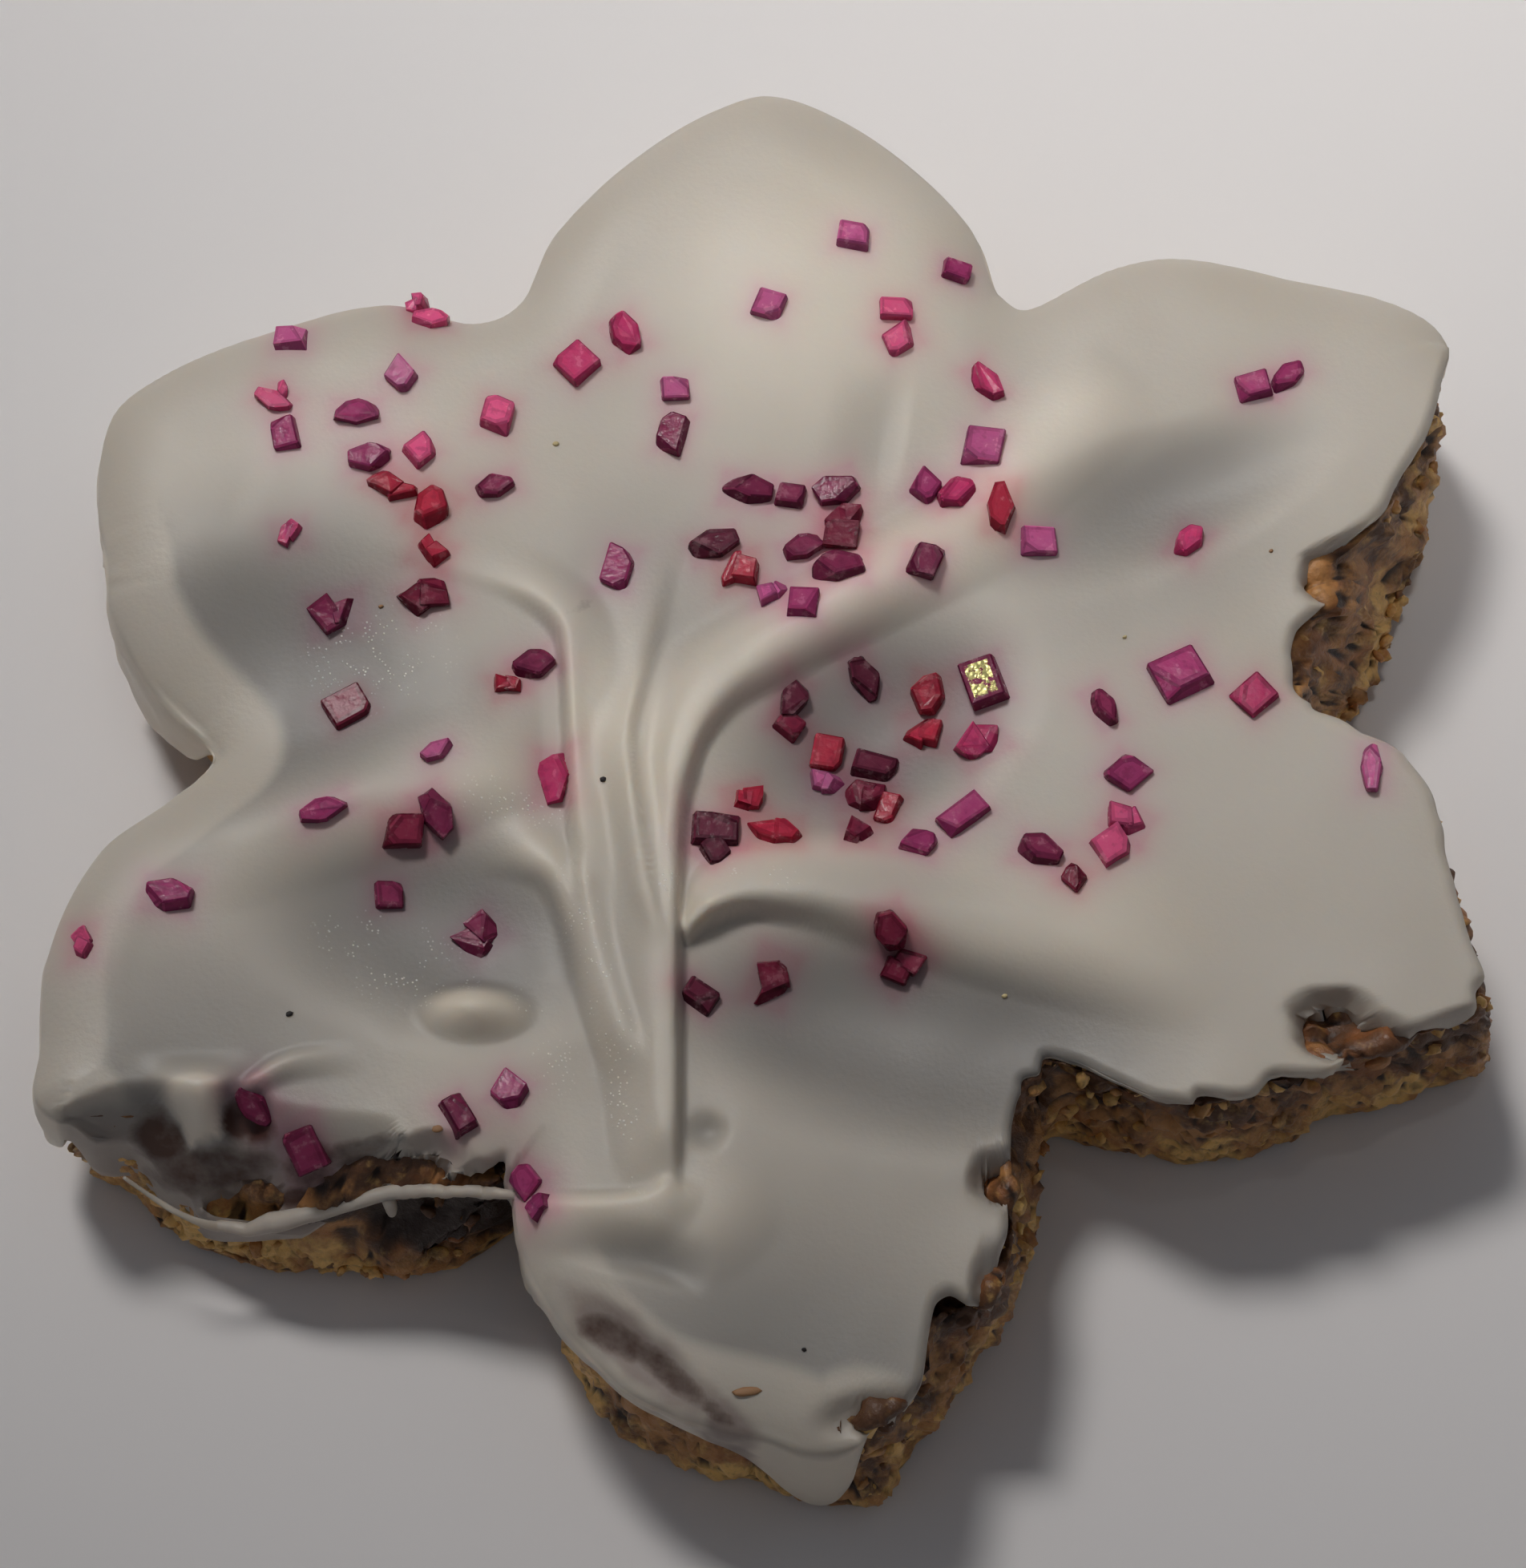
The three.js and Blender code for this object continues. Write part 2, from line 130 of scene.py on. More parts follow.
# A fold follows its path with a height (a furrow's is negative) and spreads by its own width
# to the left and to the right of the way the path runs. Heights and widths may change evenly
# along the path. It rises over its first share of the path and fades over its last one. The
# larger bluff is, the flatter its right side stays before it falls.
Fold = namedtuple("Fold", "what path height left right rise fade bluff",
                  defaults=(0.3, 0.3, 2))
FOLDS = [
    Fold("trunk and main branch, a cliff on the right",
         [(-3.5, -16), (-3.45, -13), (-3.45, -9), (-3.45, -5), (-3.4, -2.9), (-3.15, -1.4),
          (-2.7, 0.15), (-1.85, 1.5), (-0.75, 2.5), (1.2, 4), (3.2, 5.45), (5.4, 6.95),
          (8, 8.5), (11, 9.8)],
         (0.8, 1.2, 1.2, 1.0, 0.95, 0.95, 0.9, 0.85, 0.8, 0.75, 0.7, 0.65, 0.6, 0.5),
         (1.8, 2.3, 3.0, 3.4, 3.4, 3.4, 3.2, 2.8, 2.4, 2.1, 1.9, 1.9, 2.3, 3),
         (0.45, 0.42, 0.42, 0.42, 0.42, 0.5, 0.65, 0.85, 1.1, 1.4, 1.8, 2.2, 2.6, 3.2),
         0.06, 0.22, 2.5),
    Fold("left strand of the trunk",
         [(-5.6, -9), (-6.2, -5.5), (-6.5, -3.2), (-6.7, -0.4), (-6.85, 2.3), (-7.1, 3.9),
          (-8.2, 5.1), (-10, 6), (-16.5, 8.4)],
         (0.2, 0.4, 0.55, 0.6, 0.6, 0.6, 0.5, 0.4, 0.3),
         (0.6, 0.45, 0.4, 0.35, 0.35, 0.45, 0.6, 0.8, 1.2),
         (0.8, 1.1, 1.4, 1.7, 1.9, 1.7, 1.6, 1.6, 2), 0.15, 0.4),
    Fold("middle strand of the trunk, with a crisp right edge",
         [(-3.7, -7.6), (-4.25, -5.5), (-4.7, -2.8), (-5.0, -0.3), (-4.75, 1.65), (-4.35, 4.2),
          (-4.1, 6.4), (-3.8, 9.5)],
         (0.15, 0.32, 0.46, 0.48, 0.42, 0.3, 0.18, 0.08), (0.6, 0.8, 1.0, 1.3, 1.7, 2.1, 2.3, 2.4),
         (0.22, 0.26, 0.32, 0.4, 0.5, 0.7, 1, 1.4), 0.15, 0.45, 2.3),
    Fold("furrow right of the middle strand",
         [(-3.75, -7), (-3.9, -3.2), (-4.1, -1), (-3.7, 1.3), (-2.9, 3.2), (-1.6, 5.6)],
         (-0.12, -0.2, -0.24, -0.18, -0.1, -0.03), (0.4, 0.5, 0.6, 0.8, 1.1, 1.4),
         (0.3, 0.35, 0.5, 0.8, 1, 1.2), 0.3, 0.4),
    Fold("left edge of the trunk above the left hollow",
         [(-4.6, -12.2), (-5.3, -10.5), (-5.95, -8.4), (-6.45, -6.8), (-6.9, -5.5), (-7.5, -4.6),
          (-8.8, -3.9), (-10.4, -3.6)],
         (0.3, 0.45, 0.55, 0.6, 0.6, 0.5, 0.4, 0.25), (0.8, 0.9, 0.8, 0.6, 0.6, 0.7, 1, 1.3),
         (0.9, 1, 1.1, 1.2, 1.2, 1.2, 1.5, 1.7), 0.15, 0.3),
    Fold("ridge of the left lobe",
         [(-7.5, -1.2), (-10, -1.6), (-14.8, -3.2), (-19.5, -4.5)],
         0.35, (1.4, 2.4), 3.6, 0.3, 0.25),
    Fold("lip of the right lobe",
         [(-3.1, -7.1), (-2.8, -6.75), (-2.2, -6.3), (-1.5, -5.95), (-0.6, -5.75), (1.3, -5.85),
          (3.5, -6.25), (7.5, -6.9), (12, -7.4), (16.5, -7.9)],
         (0.3, 0.8, 1.1, 1.05, 1, 0.95, 0.85, 0.75, 0.65, 0.4),
         (0.3, 0.6, 1.5, 2.2, 2.6, 3, 3.2, 3.6, 4, 4),
         (0.35, 0.35, 0.4, 0.5, 0.65, 0.9, 1.3, 2, 2.8, 3.2), 0.02, 0.3, 2.5),
    Fold("second ridge of the upper right lobe",
         [(6.2, 8), (8.2, 9.8), (10.2, 11.7), (11.8, 13.4)], 0.4, 2.4, 2.2, 0.35, 0.4),
    Fold("soft crease of the top lobe",
         [(2.9, 8.6), (3.4, 11), (3.8, 13.4)], -0.16, 2, 1, 0.4, 0.4),
    Fold("foot of the trunk, bent to the left",
         [(-9, -16), (-7.4, -16.1), (-5.9, -16.2), (-4.4, -16.05), (-3.5, -15.7),
          (-3.25, -15.2)],
         (0.3, 0.4, 0.5, 0.55, 0.5, 0.3), (0.6, 0.6, 0.6, 0.6, 0.6, 0.5),
         (1, 1.4, 1.8, 1.8, 1.3, 0.8), 0.2, 0.25),
    Fold("crease below the foot",
         [(-7, -17.2), (-5.2, -17.6), (-3.6, -18), (-2.2, -18.6)], -0.28, 1.2, 0.8, 0.35, 0.35),
    Fold("thin curl on the lower left lobe",
         [(-17.5, -12.5), (-16.7, -11.75), (-15.4, -11.1), (-13, -10.95)],
         (0.45, 0.42, 0.32, 0.15), (0.35, 0.4, 0.5, 0.6), (0.45, 0.5, 0.7, 0.9), 0.15, 0.5),
]
TONGUE = Fold("tongue that hangs into the torn pit",
              [(-18.8, -10.7), (-18.75, -11.8), (-18.55, -12.7), (-18.45, -13.35)],
              (0.4, 0.85, 1.15, 1.15), (2.6, 1.7, 1.0, 0.8), (2.6, 1.7, 1.0, 0.8), 0.5, 0.02, 2.6)

# Round swells and hollows: centre, half length along and across, turn in degrees, height.
Swell = namedtuple("Swell", "what at half turn height")
SWELLS = [
    Swell("drop left by the spoon", (-9.8, -9.5), (2.1, 1.25), -3, 1.1),
    Swell("hollow of the left lobe", (-11, -6.5), (7.5, 4.6), -15, -0.85),
    Swell("hollow of the lower right", (5.5, -10.5), (9.5, 4.6), -6, -0.9),
    Swell("hollow behind the branch", (3.2, 0.4), (6.5, 4.6), 35, -0.9),
    Swell("valley of the upper right lobe", (12.6, 8.6), (7.5, 2.8), 24, -0.6),
    Swell("full top lobe", (1, 16), (7, 7), 0, 0.4),
    Swell("full upper left lobe", (-14, 9), (9, 6), 30, 0.2),
    Swell("slack of the upper left lobe", (-17.6, 1.8), (8, 5.5), 20, -0.75),
    Swell("thin bottom lobe", (0, -22), (10, 8), 0, -0.55),
    Swell("thin lower left lobe", (-19, -13), (9, 8), 30, -0.5),
    Swell("bulge beside the foot", (-2.3, -16.4), (2.6, 2.3), 25, 0.3),
    Swell("dimple beside the trunk", (-2.3, -13.6), (0.9, 0.8), 0, -0.3),
    Swell("hollow below the lip", (0.5, -9), (6, 3.6), 2, -0.4),
    Swell("thin pit at the bottom", (-4.4, -20.9), (3.2, 1), -39, -0.45),
    Swell("torn pit left of the tongue", (-20.0, -13.1), (1.7, 1.5), 25, -0.5),
    Swell("torn pit right of the tongue", (-17.15, -12.7), (1.1, 1.0), -30, -1.0),
]


def smoothstep(value, low, high):
    share = np.clip((value - low) / (high - low), 0, 1)
    return share * share * (3 - 2 * share)


def cubic(u, start, end, leave, arrive):
    """A smooth run from start to end that leaves and arrives with these slopes."""
    bend = 2 * (start - end) + leave + arrive
    return start + u * (leave + u * (3 * (end - start) - 2 * leave - arrive + u * bend))


def turned(dx, dy, degrees):
    """Offsets in plan as lengths along and across a direction."""
    angle = math.radians(degrees)
    cos, sin = math.cos(angle), math.sin(angle)
    return dx * cos + dy * sin, dy * cos - dx * sin


def in_oval(x, y, at, half, turn):
    """Places along and across a turned oval, as shares of its half length and half width."""
    lengthwise, across = turned(x - at[0], y - at[1], turn)
    return lengthwise / half[0], across / half[1]


def smooth_path(points, steps):
    """A Catmull-Rom curve through the points, as an array of steps + 1 points."""
    knots = np.array([points[0], *points, points[-1]], float)
    at = np.linspace(0, len(points) - 1, steps + 1)
    first = np.minimum(at.astype(int), len(points) - 2)
    u = (at - first)[:, None]
    before, start, end, after = (knots[first + i] for i in range(4))
    return cubic(u, start, end, (end - before) / 2, (after - start) / 2)


def along(values, share):
    """A value that changes evenly along a path."""
    values = np.atleast_1d(values)
    return np.interp(share, np.linspace(0, 1, len(values)), values)


def fold_height(fold, x, y):
    """The height one fold adds at each point, from the nearest place on its path."""
    path = smooth_path(fold.path, FOLD_STEPS)
    widest = max(np.max(fold.left), np.max(fold.right))
    low, high = path.min(0) - widest, path.max(0) + widest
    near = (x > low[0]) & (x < high[0]) & (y > low[1]) & (y < high[1])
    px, py = x[near], y[near]
    distance = np.full(px.shape, np.inf)
    on_left = np.zeros(px.shape, bool)
    share = np.zeros(px.shape)
    for i in range(FOLD_STEPS):
        (ax, ay), (bx, by) = path[i], path[i + 1]
        dx, dy = bx - ax, by - ay
        u = np.clip(((px - ax) * dx + (py - ay) * dy) / (dx * dx + dy * dy), 0, 1)
        far = np.hypot(px - ax - u * dx, py - ay - u * dy)
        closer = far < distance
        distance[closer] = far[closer]
        on_left[closer] = (dx * (py - ay) - dy * (px - ax) > 0)[closer]
        share[closer] = ((i + u) / FOLD_STEPS)[closer]
    width = np.where(on_left, along(fold.left, share), along(fold.right, share))
    spread = np.minimum(distance / width, 1)
    ends = smoothstep(share, 0, fold.rise) * (1 - smoothstep(share, 1 - fold.fade, 1))
    height = np.zeros(x.shape)
    power = np.where(on_left, 2, fold.bluff)
    height[near] = along(fold.height, share) * ends * (1 - spread**power) ** 2
    return height


def swell_height(swell, x, y):
    lengthwise, across = in_oval(x, y, swell.at, swell.half, swell.turn)
    return swell.height * np.maximum(1 - lengthwise**2 - across**2, 0) ** 2


def icing_relief(x, y):
    """Height of the icing's folded top, before its edge is shaped."""
    height = np.full(x.shape, ICING_LEVEL)
    for fold in (*FOLDS, TONGUE):
        height += fold_height(fold, x, y)
    for swell in SWELLS:
        height += swell_height(swell, x, y)
    return np.minimum(height, CEILING + (height - CEILING) * ABOVE_CEILING)


# ---------------------------------------------------------------- looks of the top
# What lies on the top is laid out as it is seen from 68 degrees up, level with SEEN_LEVEL.
# On a lower surface its true place is a little further back, and on a higher one nearer.
SEEN_LEVEL = 8
LEAN = 0.404  # the cotangent of 68 degrees


def seen(y, z):
    """Where a point at height z is seen on SEEN_LEVEL."""
    return y - LEAN * (SEEN_LEVEL - z)


# Where the icing leaves the crumb bare: centre, half length along and across, turn, and how
# high the crumb stands there above its usual top.
BARE_SPOTS = [
    ((-17.35, -16.2), (1.25, 0.75), 12, 0.35), ((-14.0, -15.6), (1.5, 0.5), 27, 0.5),
    ((-12.0, -14.9), (1.3, 0.6), 12, 0.6), ((-10.1, -15.3), (0.75, 0.35), -15, 0.6),
    ((17.8, -10.0), (0.95, 0.95), -10, 0.6), ((19.15, -10.65), (1.3, 0.6), -24, 0.6),
    ((20.5, -11.4), (1.1, 0.6), -22, 0.35), ((21.75, -10.6), (0.75, 0.42), 40, 0.3),
    ((18.55, 5.9), (0.8, 0.75), 10, 0.4), ((7.3, -15.2), (0.72, 0.55), 0, 0.4),
    ((6.75, -18.9), (0.26, 0.5), 0, 0.5), ((3.2, -23.2), (1.05, 0.42), 10, 0.6),
]
# Where the icing is thin: centre, half length and width, turn.
THIN_PATCHES = [((-4.4, -20.85), (3.0, 0.8), -39), ((-1.6, -23), (0.9, 0.6), -30)]
# Where painted shade makes it greyer than elsewhere: the same, and how much.
SHADE_PATCHES = [
    ((-18.5, 1.5), (6, 4.5), 20, 1.0), ((-16.5, 5.5), (5, 3), 20, 0.6),
    ((-4.9, -8.5), (1.6, 5), 8, 0.4), ((3.6, -5.6), (4, 1.4), 0, 0.4),
    ((-4.2, 5.5), (3.5, 3), 0, 0.4), ((-12, 0.6), (3.5, 2), 10, 0.4),
    ((4.6, -13.3), (5, 3), 0, 0.3), ((0.5, -22.3), (4, 2.4), 0, 0.5),
    ((12.5, 5.8), (4, 2), 20, 0.35),
]
# Where dark, moist crumb shows through it, darkened further by painted shade in the torn pits: the
# same, and how much.
SHOWING_AND_PIT_SHADE = [
    ((-19.7, -13.9), (1.4, 1.0), 25, 0.85), ((-17.1, -13.45), (0.95, 0.8), -30, 1.0),
    ((-18.3, -15.2), (2.3, 0.95), 5, 0.75), ((-15.1, -15.0), (1.0, 0.75), 30, 0.75),
    ((-13.8, -14.5), (1.7, 0.5), 25, 0.6), ((-20.6, -13.3), (0.9, 0.5), 60, 0.4),
    ((-15.6, -16.1), (0.7, 0.4), 20, 0.8), ((-5.3, -20.6), (1.35, 0.6), -30, 0.72),
    ((-3.5, -21.8), (1.7, 0.5), -42, 0.7), ((-1.9, -23.2), (0.8, 0.3), -35, 0.7),
    ((-6.6, 4.6), (0.7, 0.3), 20, 0.4), ((-11.9, -14.0), (0.9, 0.4), 0, 0.35),
]
# Places where tiny specks of the icing glint: centre, half length and width, turn.
GLINT_PATCHES = [
    ((-5.6, -9.5), (5, 0.6), 103), ((-4.9, -12.5), (3, 0.5), 95), ((-8.6, -2.2), (1.6, 0.8), -10),
    ((-12.4, -7.6), (2.4, 1.2), -30), ((-13.2, 3), (2, 1.6), 0), ((-0.7, -5.2), (1.3, 0.4), -10),
    ((-7.6, -10.5), (0.7, 1.6), 20), ((-3.5, -5.4), (0.3, 1.4), 0),
]
# Holes in the crumb itself.
CRUMB_PITS = [
    Swell("left of the hanging tongue", (-19.9, -13.3), (1.1, 1.0), 30, -1.5),
    Swell("right of the hanging tongue", (-17.2, -12.7), (1.1, 0.9), -30, -1.8),
    Swell("hole in the right lobe", (17.6, -9.3), (0.5, 0.8), 30, -0.6),
]
# Bare crumb that is dark and moist, and painted darker still as the shade below the strand:
# centre, half length and width, turn.
MOIST_SHADED_CRUMB = [((-10.6, -16.7), (2.8, 1.3), 10), ((-14.4, -16.4), (1.8, 0.35), 22)]

CRYSTAL_SINK = 0.6  # the share of a crystal's height that is down in the icing
# How far a crystal's colour spreads into the icing, how strong it is, and how fast it fades.
BLEED_WIDTH, BLEED_STRENGTH, BLEED_FADE = 1.2, 0.42, 3.2
TALLEST = 9.4  # no crystal reaches above this
# Coarse sugar: x, y, colour, habit, length, width, turn in degrees.
CRYSTALS = [
    (-16.3, 14.3, "lilac", "block", 1.2, 1.0, -2),
    (-12.2, 15.7, "pink", "rough", 1.0, 0.8, 30),
    (-11.7, 15.05, "pink", "gem", 1.3, 0.8, 0),
    (-12.5, 13.0, "lilac", "slant", 1.2, 1.0, 58),
    (-16.8, 12.1, "pink", "gem", 1.4, 0.8, -28),
    (-16.55, 12.5, "pink", "gem", 0.7, 0.4, -75),
    (-16.35, 10.8, "violet", "block", 1.3, 0.9, 102),
    (-14.05, 11.65, "violet", "gem", 1.6, 1.0, 0),
    (-13.6, 9.97, "violet", "gem", 1.5, 1.0, 5),
    (-11.9, 10.2, "pink", "block", 1.1, 1.0, 42),
    (-9.35, 11.5, "pink", "slant", 1.5, 1.1, 78),
    (-9.35, 8.95, "plum", "gem", 1.4, 0.9, 20),
    (-12.75, 8.9, "red", "rough", 1.8, 1.2, -35),
    (-11.4, 8.1, "red", "gem", 1.7, 1.3, 60),
    (-11.45, 6.5, "red", "rough", 1.4, 1.1, -20),
    (-11.6, 5.0, "wine", "rough", 1.7, 1.4, 30),
    (-16.15, 7.2, "pink", "rough", 1.1, 1.0, 10),
    (-6.7, 13.4, "rose", "block", 1.25, 1.2, 45),
    (-5.1, 14.5, "rose", "gem", 1.5, 1.2, -60),
    (-14.55, 4.35, "plum", "rough", 1.8, 1.4, 10),
    (-5.25, 5.95, "violet", "slant", 1.7, 1.0, 75),
    (-0.3, 15.6, "lilac", "block", 1.15, 1.05, -18),
    (5.95, 16.85, "violet", "block", 1.0, 0.8, -12),
    (2.55, 18.1, "lilac", "block", 1.2, 1.0, -10),
    (3.95, 15.4, "pink", "block", 1.1, 0.8, 0),
    (4.05, 14.35, "pink", "slant", 1.3, 1.1, 35),
    (-3.45, 12.5, "lilac", "block", 1.1, 0.85, 3),
    (-3.45, 10.9, "plum", "slant", 1.6, 1.0, 75),
    (6.9, 12.75, "rose", "gem", 1.6, 0.9, -55),
    (6.8, 10.35, "lilac", "block", 1.4, 1.35, -8),
    (4.9, 8.85, "violet", "slant", 1.2, 1.0, 60),
    (5.9, 8.65, "rose", "gem", 1.4, 1.1, 20),
    (7.4, 8.2, "red", "gem", 1.9, 1.0, 85),
    (8.6, 6.95, "lilac", "block", 1.3, 1.1, 3),
    (-1.05, 8.8, "plum", "gem", 1.7, 1.2, -10),
    (0.4, 8.55, "plum", "block", 1.1, 0.85, -8),
    (1.95, 8.9, "plum", "gem", 1.6, 1.3, 25),
    (2.2, 7.75, "wine", "rough", 1.4, 1.0, 10),
    (2.1, 7.15, "wine", "block", 1.3, 1.0, -3),
    (0.8, 6.7, "plum", "gem", 1.5, 0.9, 22),
    (2.05, 5.95, "plum", "gem", 1.9, 1.3, 0),
    (4.8, 6.2, "plum", "slant", 1.35, 1.2, -10),
    (-2.1, 6.8, "dark", "gem", 1.7, 1.0, 20),
    (-1.3, 5.9, "red", "rough", 1.5, 1.4, 10),
    (-0.2, 5.05, "lilac", "rough", 1.2, 1.2, 0),
    (0.8, 4.6, "violet", "block", 1.1, 1.0, -3),
    (2.8, 2.1, "dark", "gem", 1.8, 1.0, -65),
    (0.5, 1.3, "dark", "gem", 1.5, 0.9, 70),
    (0.3, 0.35, "wine", "block", 1.0, 0.9, -35),
    (6.8, 1.9, "plum", "gilt", 1.75, 1.35, 107),
    (5.0, 1.45, "red", "gem", 1.5, 1.3, 80),
    (4.7, 0.05, "red", "rough", 1.5, 1.4, 0),
    (6.6, -0.25, "rose", "rough", 1.7, 1.5, 30),
    (1.6, -0.7, "red", "block", 1.2, 1.15, 80),
    (1.6, -1.75, "lilac", "rough", 1.3, 1.0, 0),
    (3.2, -1.2, "dark", "block", 1.5, 1.1, -15),
    (2.8, -2.2, "wine", "rough", 1.5, 1.2, -10),
    (3.6, -2.6, "red", "block", 1.2, 0.8, 70),
    (-0.1, -3.45, "red", "rough", 1.8, 1.3, 0),
    (-1.1, -2.25, "red", "rough", 1.3, 1.1, 20),
    (-2.1, -3.35, "dark", "block", 1.75, 1.3, -3),
    (-2.05, -4.1, "dark", "slant", 1.1, 1.0, 45),
    (2.6, -3.5, "wine", "rough", 1.1, 1.1, 0),
    (4.55, -3.85, "violet", "slant", 1.25, 1.0, -20),
    (6.05, -2.8, "violet", "block", 1.7, 1.0, 38),
    (8.45, -4.1, "plum", "gem", 1.5, 1.2, -20),
    (9.6, -5.0, "wine", "slant", 1.0, 0.8, 60),
    (3.6, -6.75, "wine", "gem", 1.5, 1.1, -70),
    (4.0, -8.0, "wine", "rough", 1.7, 1.3, 40),
    (-0.2, -8.5, "wine", "rough", 1.9, 1.3, 70),
    (-2.6, -9.1, "dark", "block", 1.4, 1.0, -35),
    (-11.1, -0.6, "lilac", "gem", 1.2, 0.6, 30),
    (-14.75, -2.6, "violet", "gem", 1.8, 0.9, 25),
    (-12.2, -3.35, "wine", "slant", 1.6, 1.2, 3),
    (-11.15, -2.7, "plum", "gem", 1.8, 1.2, -60),
    (-19.8, -5.6, "violet", "gem", 1.7, 1.3, -10),
    (-22.5, -7.25, "pink", "rough", 1.4, 0.9, 90),
    (-12.7, -5.65, "plum", "block", 1.0, 1.0, 3),
    (-9.65, -7.05, "plum", "rough", 1.5, 1.3, 40),
    (-10.3, -13.1, "plum", "block", 1.4, 1.0, -60),
    (-8.6, -12.35, "violet", "slant", 1.25, 1.1, 60),
    (-15.25, -14.25, "plum", "block", 1.6, 1.3, -70),
    (-16.75, -12.6, "plum", "gem", 1.6, 1.1, -50),
    (-8.05, -15.4, "violet", "slant", 1.2, 1.1, 50),
    (-7.6, -16.2, "violet", "rough", 1.0, 0.9, 20),
    (-7.3, -1.5, "rose", "gem", 2.0, 1.3, 90),
    (-8.0, 2.45, "plum", "gem", 1.5, 1.1, 25),
    (-8.9, 1.8, "red", "rough", 1.1, 0.9, 20),
    (-14.1, 0.95, "wine", "block", 1.5, 1.2, 30),
    (13.6, 6.9, "rose", "gem", 1.4, 1.1, 60),
    (13.25, 2.15, "violet", "block", 1.85, 1.75, 27),
    (15.65, 1.4, "rose", "block", 1.3, 1.25, 43),
    (10.6, 1.0, "plum", "gem", 1.6, 0.85, -60),
    (11.35, -1.3, "violet", "slant", 1.35, 1.2, -35),
    (11.35, -3.0, "pink", "rough", 1.6, 1.2, -30),
    (10.85, -3.9, "pink", "block", 1.3, 1.2, 35),
    (19.4, -1.15, "lilac", "gem", 1.7, 0.9, 88),
    (15.9, 12.55, "violet", "block", 1.2, 0.9, 15),
    (17.0, 12.95, "violet", "gem", 1.5, 0.8, 40),
]
FLECK_HEIGHT, FLECK_LIFT = 0.14, 0.02
# Flecks: x, y, colour, length, width, turn in degrees.
FLECKS = [
    (-5.7, -1.55, "black", 0.22, 0.2, 0), (-15.75, -9.7, "black", 0.26, 0.18, 20),
    (0.8, -21.0, "black", 0.16, 0.14, 0), (7.3, -9.1, "yellow", 0.2, 0.15, 10),
    (-1.0, -22.4, "orange", 0.95, 0.32, 8), (-10.9, -13.6, "orange", 0.35, 0.25, 0),
    (-7.4, 10.5, "yellow", 0.22, 0.18, 0), (11.4, 3.5, "yellow", 0.16, 0.12, 30),
    (16.3, 6.6, "orange", 0.16, 0.12, 40), (-13.1, 4.6, "orange", 0.18, 0.12, 15),
]

# ---------------------------------------------------------------- sizes and colours
MM_PROPERTY = {"unit": "LENGTH", "subtype": "DISTANCE"}


def length(label, about, millimetres):
    return bpy.props.FloatProperty(
        name=label, description=about, default=millimetres * MM, min=0, **MM_PROPERTY
    )


def srgb_to_linear(byte):
    share = byte / 255
    return share / 12.92 if share <= 0.04045 else ((share + 0.055) / 1.055) ** 2.4


def colour(label, about, red, green, blue):
    return bpy.props.FloatVectorProperty(
        name=label, description=about, size=3, subtype="COLOR", min=0, max=1,
        default=[srgb_to_linear(c) for c in (red, green, blue)],
    )


class CookieSizes(bpy.types.PropertyGroup):
    lump: length("Crumb lump", "Width of the coarse crumb lumps", 1.0)
    lump_depth: length("Crevice depth", "How deep the crevices between lumps go", 0.55)
    hem_radius: length("Hem radius", "Roundness of the icing's hem", 0.36)
    sugar_height: length("Sugar height", "Height of a sugar crystal of usual width", 0.9)
    sugar_bevel: length("Sugar bevel", "Width of the worn edges of the crystals", 0.055)
    strand: length("Strand width", "Usual width of the icing strands", 0.55)


class CookieColours(bpy.types.PropertyGroup):
    icing: colour("Icing", "Yogurt icing", 221, 211, 196)
    # Painted shade: the colour the icing is mixed towards where its painted shade is deepest.
    icing_shaded: colour("Lower icing", "Icing of less than full thickness", 134, 129, 124)
    icing_thin: colour("Thin icing", "Icing so thin that crumb shows through", 152, 137, 129)
    crumb_dark: colour("Dark crumb", "Moist, dark crumb", 92, 60, 38)
    crumb_mid: colour("Crumb", "Usual crumb", 184, 130, 76)
    crumb_pale: colour("Pale crumb", "Ochre grains", 234, 188, 112)
    crumb_toast: colour("Toasted crumb", "Orange-brown grains", 172, 106, 56)
    # Also used for the painted shade in the torn pits of the icing.
    crumb_moist: colour("Moist crumb", "Crumb that shows through torn icing", 80, 56, 46)
    crumb_crevice: colour("Crevice", "Shadowed crumb between lumps", 48, 29, 19)
    lilac: colour("Lilac sugar", "Pale violet crystals", 204, 98, 154)
    violet: colour("Violet sugar", "Violet crystals", 168, 58, 114)
    plum: colour("Plum sugar", "Dark violet crystals", 128, 38, 78)
    dark: colour("Dark sugar", "Darkest crystals", 84, 22, 44)
    wine: colour("Wine sugar", "Wine-red crystals", 122, 26, 54)
    red: colour("Red sugar", "Red crystals", 184, 38, 62)
    rose: colour("Rose sugar", "Rose-red crystals", 206, 58, 114)
    pink: colour("Pink sugar", "Pale pink crystals", 234, 94, 144)
    # Painted reflection: the glitter on one crystal's top is a reflection, painted in this pale
    # gold.
    gold: colour("Gold flake", "Glitter on the gilt crystal", 214, 206, 140)
    black: colour("Black fleck", "Burnt specks", 28, 20, 22)
    yellow: colour("Yellow fleck", "Pale specks", 196, 178, 132)
    orange: colour("Orange fleck", "Crumb specks on the icing", 156, 116, 80)
    floor: colour("Floor", "Plain pale floor", 224, 220, 219)


def sizes():
    return bpy.context.scene.cookie_sizes


def colours():
    return bpy.context.scene.cookie_colours


